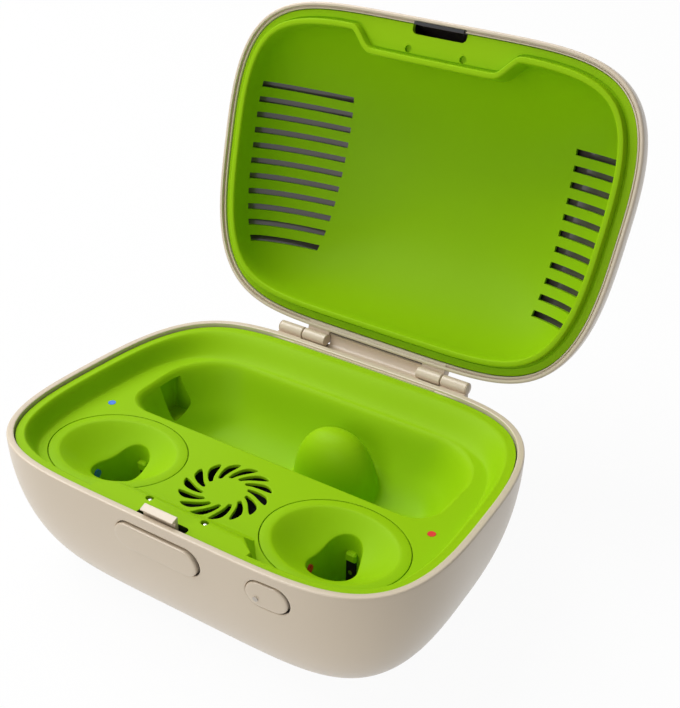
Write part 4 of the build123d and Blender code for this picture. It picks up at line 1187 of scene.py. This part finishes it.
@dataclass
class Lid:
    """The lid: champagne dome outside, green lining with bead, land and vents inside."""

    z: float = 34.4
    height: float = 32.0
    wall: float = 1.6
    liner_z: float = 35.4
    bead_inset: float = 4.0
    bead_width: float = 1.6
    bead_tall: float = 2.2
    cavity_foot: float = 36.6
    cavity_top: float = 61.3
    cavity_power: float = 2.3
    cavity_crown: float = 0.0047
    lining_wall: float = 1.1
    bay_wall: float = 3.5
    bay_rise: float = 6.0
    land_y: float = -30.3
    land_half: float = 17.0
    land_slope: float = 1.15
    land_reach: float = 26.5
    ridge_radius: float = 2.5
    slot: Triple = (7.2, -38.7, -35.4)
    hook_room: Pair = (6.8, -38.3)
    vents: int = 11
    vent_pitch: float = 3.93
    vent_first: float = -16.06
    vent_width: float = 1.5
    vent_inner: float = 31.4
    vent_outer: float = 52.0
    vent_foot: float = 39.2

    def dome_ring(self, share: float, wall: float) -> Array:
        """A ring of the dome: at a of a quarter turn it stands at height sin(a) and is scaled by cos(a)."""
        a = share * pi / 2
        return OUTLINE.scaled(self.z + (self.height - wall) * sin(a), wall, max(cos(a), 0.003))

    def shell(self) -> Piece:
        """The dome: outside from the crown to the stepped rim, then the inside."""
        rings = [self.dome_ring(s, 0.0) for s in np.linspace(0.996, 0.03, 60)]
        rim = [(0.0, 0.6), (0.04, 0.32), (0.16, 0.1), (0.34, 0.0), (0.78, 0.0), (0.86, 0.05), (0.9, 0.18),
               (0.93, 1.0), (1.2, 1.0), (1.24, 0.7), (1.3, 0.62), (1.5, 0.62), (1.6, 0.72), (1.62, 1.2)]
        rings += [OUTLINE.offset(self.z + dz, inset) for inset, dz in rim]
        rings += [self.dome_ring(s, self.wall + 0.02) for s in np.linspace(0.06, 0.996, 30)]
        shell = skin("lid_dome", rings, pole=True)
        half, front = self.hook_room
        room = rounded_box((-half, half), (front, -36.0), (0.2, 0.2), 4, 2)
        carve(shell, prism("hook_room", room, self.z + 0.5, self.z + 3.0))
        self.opened(shell)
        return soften(shell, 40.0)

    @staticmethod
    def opened(piece: Piece) -> None:
        """Turns a piece's points open about the hinge."""
        moved = OPENED(read(piece.data.vertices, "co") / MM) * MM
        piece.data.vertices.foreach_set("co", moved.ravel())
        piece.data.update()

    def inner_faces(self, shell: Piece) -> Array:
        """Flags the shell's faces whose middles lie nearer the dome's centre than its mid wall; they get a
        painted shade, seen behind the vents.

        Args:
            shell: The opened shell.

        Returns:
            One flag per face.
        """
        shut = LidTurn(degrees=-OPENED.degrees)(read(shell.data.polygons, "center") / MM)
        tip = LidTurn(0.0, 0.0, -OPENED.degrees)(read(shell.data.polygons, "normal"))
        inward = (tip * (shut - np.array([0.0, 0.0, self.z]))).sum(axis=1) < 0
        return inward & (shut[:, 2] > self.z + 1.3)

    def bead_line(self) -> Array:
        """The bead's outer line: the outline drawn in, behind the land as y = max(y, line of the land)."""
        ring = OUTLINE.offset(0.0, self.bead_inset)
        x, y = ring[:, 0], ring[:, 1]
        ax = np.abs(x)
        land = self.land_y - soft_max(ax - self.land_half, np.zeros_like(ax), 0.6) * self.land_slope
        behind = (y < 0) & (ax < self.land_reach)
        return np.stack([x, np.where(behind, soft_max(y, land, 0.9), y), ring[:, 2]], axis=1)

    def cavity_rings(self, inner: Array, wall: float = 0.0) -> list[Array]:
        """Rings of the cavity: its foot line scaled by cos(a)^(2/n), at heights that rise by sin(a)^(2/n).

        The foot line's bay behind the land fades into the plain outline over the first part of the rise.

        Args:
            inner: The bead's inner line.
            wall: Distance outside the cavity, for the lining's hidden side.

        Returns:
            Rings from the foot to the crown.
        """
        foot = draw_in(inner, -wall, 0.0)
        plain = OUTLINE.offset(0.0, self.bead_inset + self.bead_width - wall)
        rise = self.cavity_top + wall - self.cavity_foot
        rings = []
        for a in np.radians(np.concatenate([np.linspace(0.0, 84.0, 50), np.linspace(85.0, 89.7, 5)])):
            share, up = cos(a) ** (2 / self.cavity_power), sin(a) ** (2 / self.cavity_power)
            fade = min(max(up * rise - self.bay_wall, 0.0) / self.bay_rise, 1.0)
            fade = fade * fade * (3 - 2 * fade)
            ring = (foot * (1 - fade) + plain * fade) * np.array([share, share, 1.0])
            ring[:, 2] = self.cavity_foot + rise * up - self.cavity_crown * up * ring[:, 1] ** 2
            rings.append(ring)
        return rings

    def lining(self) -> Piece:
        """The lining: hidden outer side, flange, groove, bead and cavity, with its vents and latch slot."""
        z, tall = self.liner_z, self.bead_tall
        line = self.bead_line()
        inner = draw_in(line, self.bead_width, z)
        rings = self.cavity_rings(inner, self.lining_wall)[::-1]
        flange = [(1.7, 1.2), (1.7, 0.2), (1.78, 0.06), (1.95, 0.0)]
        rings += [OUTLINE.offset(z + dz, inset) for inset, dz in flange]
        bead = [(-0.75, 0.0), (-0.6, 0.05), (-0.5, 0.3), (-0.05, 0.35), (0.0, 0.1), (0.03, -tall + 0.4),
                (0.14, -tall + 0.13), (0.4, -tall), (1.1, -tall), (1.33, -tall + 0.1), (1.47, -tall + 0.35),
                (1.52, -tall + 0.8), (1.56, 0.2)]
        rings += [draw_in(line, inset, z + dz) for inset, dz in bead]
        rings += self.cavity_rings(inner)
        lining = skin("lid_lining", rings, pole=True)
        tools, half = [], self.vent_width / 2
        for number in range(self.vents):
            y = self.vent_first + self.vent_pitch * number
            for _, side in SIDES:
                across = tuple(sorted((side * self.vent_inner, side * self.vent_outer)))
                flat = rounded_box(across, (y - half, y + half), (0.12, 0.12), 4, 6)
                tools.append(prism("vent", flat, self.vent_foot, z + 31.0))
        carve(lining, joined("vent_tool", tools))
        half, front, back = self.slot
        slot = rounded_box((-half, half), (front, back), (0.6, 1.2), 8, 2)
        carve(lining, prism("slot_tool", slot, z - 3, z + 9.0))
        for _, side in SIDES:
            carve(lining, prism("dimple_tool", disc(0.9, side * PIN_X, PIN_Y, 24), z - 3, z + 0.8))
        self.opened(lining)
        return soften(lining, 38.0)

    def hinge(self) -> list[Piece]:
        """The lid's two inner knuckles and the ridged web between them."""
        y, z, r = OPENED.y, OPENED.z, KNUCKLE_R
        knuckle = [(13.3, 0.5), (13.3, r - 0.15), (13.45, r), (19.7, r), (19.85, r - 0.15), (19.85, 0.5)]
        made = [lathe_x(f"{name}_inner_knuckle", [(side * x, radius) for x, radius in knuckle], y, z)
                for name, side in SIDES]
        back, low = OUTLINE.half_y - 1.6, z + 0.75
        web = [(back, low), (y, low), (y + 0.9, z + 1.1), (y + 0.9, z + 2.2), (y + 0.5, z + 3.2),
               (back, z + 3.9)]
        made += [rounded(spanned(f"{name}_lid_web", web, side, 13.4, 19.8), 0.3) for name, side in SIDES]
        steps = [(back, low)]
        for number in range(3):
            out, step = y - 3.35 + 0.3 * number, low - 0.13 * number
            steps += [(out, step), (out + 0.04, step - 0.11)]
        steps += arc(y, z, self.ridge_radius, 172, 96, 12) + [(y - 0.1, z + 3.1), (back, z + 3.9)]
        made.append(rounded(extruded("lid_ridges", steps, -13.5, 13.5), 0.05, 2))
        for piece in made:
            self.opened(piece)
        return made

    def build(self) -> None:
        """Builds the lid's pieces."""
        shell = place(self.shell(), Body.LID, CHAMPAGNE, "lid_shell")
        # Painted shade on the dome's inside, in the gap behind the lining's vents.
        paint_shade_faces(shell, SHELL_PAINTED_SHADE, self.inner_faces(shell))
        place(self.lining(), Body.LID, LIME, "lid_liner")
        for piece in self.hinge():
            placed = place(soften(piece), Body.LID, CHAMPAGNE)
            if piece.name == "lid_ridges":
                x, y, z = (read(placed.data.polygons, "center") / MM).T
                reach = np.hypot(y - OPENED.y, z - OPENED.z)
                near = (reach > self.ridge_radius - 0.2) & (reach < self.ridge_radius + 0.06)
                # Painted shade on the ridges' inner arc, the dark line of the gap under the lid's web.
                paint_shade_faces(placed, SHELL_PAINTED_SHADE, near & (np.abs(x) < HINGE_MIDDLE))


@dataclass
class Hook:
    """The latch slide with its slanted hook."""

    half: float = 4.25
    plate_half: float = 11.5
    top: float = Tray.top
    front: float = -37.3
    back: float = -36.4
    nose: float = -38.2
    plate_back: float = -35.5

    def build(self) -> None:
        """Builds the hook and the plate that carries it."""
        t, front, back, nose = self.top, self.front, self.back, self.nose
        hook = [(back, t - 5.0), (back, t + 2.7), (back - 0.2, t + 2.85), (nose + 0.1, t + 2.33),
                (nose, t + 2.2), (nose, t + 1.95), (front, t + 1.95), (front, t - 5.0)]
        sheet = [(back, t - 6.8), (self.plate_back, t - 6.8), (self.plate_back, t - 2.3), (back, t - 2.3)]
        plate = extruded("slide_plate", sheet, -self.plate_half, self.plate_half)
        stem = rounded(extruded("hook_stem", hook, -self.half, self.half), 0.2)
        place(soften(stem), Body.LATCH, CHAMPAGNE, "latch_slide")
        place(soften(rounded(plate, 0.15)), Body.LATCH, CHAMPAGNE)


@dataclass
class InnerParts:
    """The CAD nodes whose shapes stay, with their finishes."""

    finishes: dict[str, Finish] = field(default_factory=lambda: {
        "base_feet": RUBBER, "case_screws": STEEL, "left_ear_markers": BLUE, "right_ear_markers": RED,
        "left_contact_carrier": BLACK, "right_contact_carrier": BLACK, "charge_contacts": GOLD,
        "fan_frame": BLACK, "fan_impeller": BLACK, "heater_plate": ALLOY, "main_board": BOARD,
        "board_parts": BLACK, "battery_cell": POUCH, "charging_socket": STEEL, "switch_board": BOARD,
        "power_switch": BLACK, "latch_spring": STEEL, "status_light": LIGHT, "probe_pins": STEEL,
        # The latch keeper's near-black steel is a painted shade for the latch slot.
        "hinge_pins": STEEL, "latch_keeper": STEEL_PAINTED_SHADE})

    def build(self) -> None:
        """Dresses the nodes."""
        for node, finish in self.finishes.items():
            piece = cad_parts[node]
            piece.data.materials.clear()
            piece.data.materials.append(finish.material())
            LOG.info("%s keeps its shape, finish %s", node, finish.name)


@dataclass
class Studio:
    """The floor, lamps, world and camera."""

    eye: Triple = (143.066, -188.271, 192.57)
    azimuth: float = 33.528
    elevation: float = 30.259
    roll: float = 0.688
    lens: float = 65.106
    ambient: float = 0.19
    floor_white: float = 0.95
    floor_half: float = 4000.0
    floor_drop: float = 0.02
    floor_grey: float = 0.86
    aim: Triple = (0.0, 0.02, 0.03)
    lamps: tuple[tuple[str, Triple, float, float], ...] = (
        ("key", (-0.55, 0.0, 0.82), 0.85, 10.4), ("fill", (-0.1, -0.95, 0.4), 0.6, 2.8))

    @staticmethod
    def seen(tree: bpy.types.NodeTree) -> Socket:
        """One where a camera, glossy or transmitted ray looks, and nothing for light that spreads."""
        path = tree.nodes.new("ShaderNodeLightPath")
        rays = [Socket(tree, path.outputs[f"Is {kind} Ray"]) for kind in ("Camera", "Glossy", "Transmission")]
        return rays[0] + rays[1] + rays[2]

    def floor(self) -> None:
        """A pale floor that the camera sees as white and that keeps the soft shadow."""
        half, drop = self.floor_half, self.floor_drop
        corners = [(-half, -half, -drop), (half, -half, -drop), (half, half, -drop), (-half, half, -drop)]
        mesh = bpy.data.meshes.new("floor")
        mesh.from_pydata((np.array(corners) * MM).tolist(), [], [[0, 1, 2, 3]])
        piece = bpy.data.objects.new("floor", mesh)
        bpy.context.scene.collection.objects.link(piece)
        made = bpy.data.materials.new("pale_floor")
        made.use_nodes = True
        tree = made.node_tree
        tree.nodes.clear()
        diffuse = Finish.node(tree, "ShaderNodeBsdfDiffuse", {}, {"Color": (*[self.floor_grey] * 3, 1.0)})
        white = Finish.node(tree, "ShaderNodeEmission", {}, {"Color": WHITE, "Strength": 1.0})
        mixed = Finish.node(tree, "ShaderNodeMixShader", {},
                            {0: self.seen(tree) * self.floor_white, 1: diffuse, 2: white})
        Finish.node(tree, "ShaderNodeOutputMaterial", {}, {"Surface": mixed})
        mesh.materials.append(made)

    def lamp(self, name: str, at: Triple, size: float, power: float) -> None:
        """A square area lamp that faces the case.

        Args:
            name: Its name.
            at: Its place in metres.
            size: Its side in metres.
            power: Its power in watts.
        """
        data = bpy.data.lights.new(name, "AREA")
        data.size = size
        data.energy = power
        lamp = bpy.data.objects.new(name, data)
        lamp.location = at
        lamp.rotation_euler = (Vector(self.aim) - Vector(at)).to_track_quat("-Z", "Y").to_euler()
        bpy.context.scene.collection.objects.link(lamp)

    def world(self) -> None:
        """A soft grey surround that the camera, glossy and transmitted rays see as white."""
        world = bpy.data.worlds.new("studio")
        bpy.context.scene.world = world
        world.use_nodes = True
        tree = world.node_tree
        tree.nodes.clear()
        strength = self.ambient + self.seen(tree) * (1.0 - self.ambient)
        surround = Finish.node(tree, "ShaderNodeBackground", {},
                               {"Color": WHITE, "Strength": strength})
        Finish.node(tree, "ShaderNodeOutputWorld", {}, {"Surface": surround})

    def camera(self) -> None:
        """The camera: its axes from azimuth, elevation and roll."""
        a, e, r = radians(self.azimuth), radians(self.elevation), radians(self.roll)
        back = Vector((sin(a) * cos(e), -cos(a) * cos(e), sin(e)))
        right = Vector((cos(a), sin(a), 0.0))
        up = back.cross(right)
        right_r, up_r = cos(r) * right + sin(r) * up, -sin(r) * right + cos(r) * up
        turn = Matrix((right_r, up_r, back)).transposed().to_4x4()
        data = bpy.data.cameras.new("camera")
        data.lens = self.lens
        data.sensor_width = 36.0
        data.clip_start = 0.01
        camera = bpy.data.objects.new("camera", data)
        camera.matrix_world = Matrix.Translation(Vector(self.eye) * MM) @ turn
        bpy.context.scene.collection.objects.link(camera)
        bpy.context.scene.camera = camera

    def build(self) -> None:
        """Builds the studio."""
        bpy.context.scene.view_settings.view_transform = "Standard"
        self.floor()
        self.world()
        for name, at, size, power in self.lamps:
            self.lamp(name, at, size, power)
        self.camera()


def main() -> None:
    """Builds every sub-assembly in order."""
    logging.basicConfig(level=logging.INFO, format="%(name)s: %(message)s")
    Studio().build()
    BaseCase().build()
    Tray().build()
    for name, side in SIDES:
        Dish(name, side).build()
    Lid().build()
    Hook().build()
    InnerParts().build()


if __name__ == "__main__":
    main()
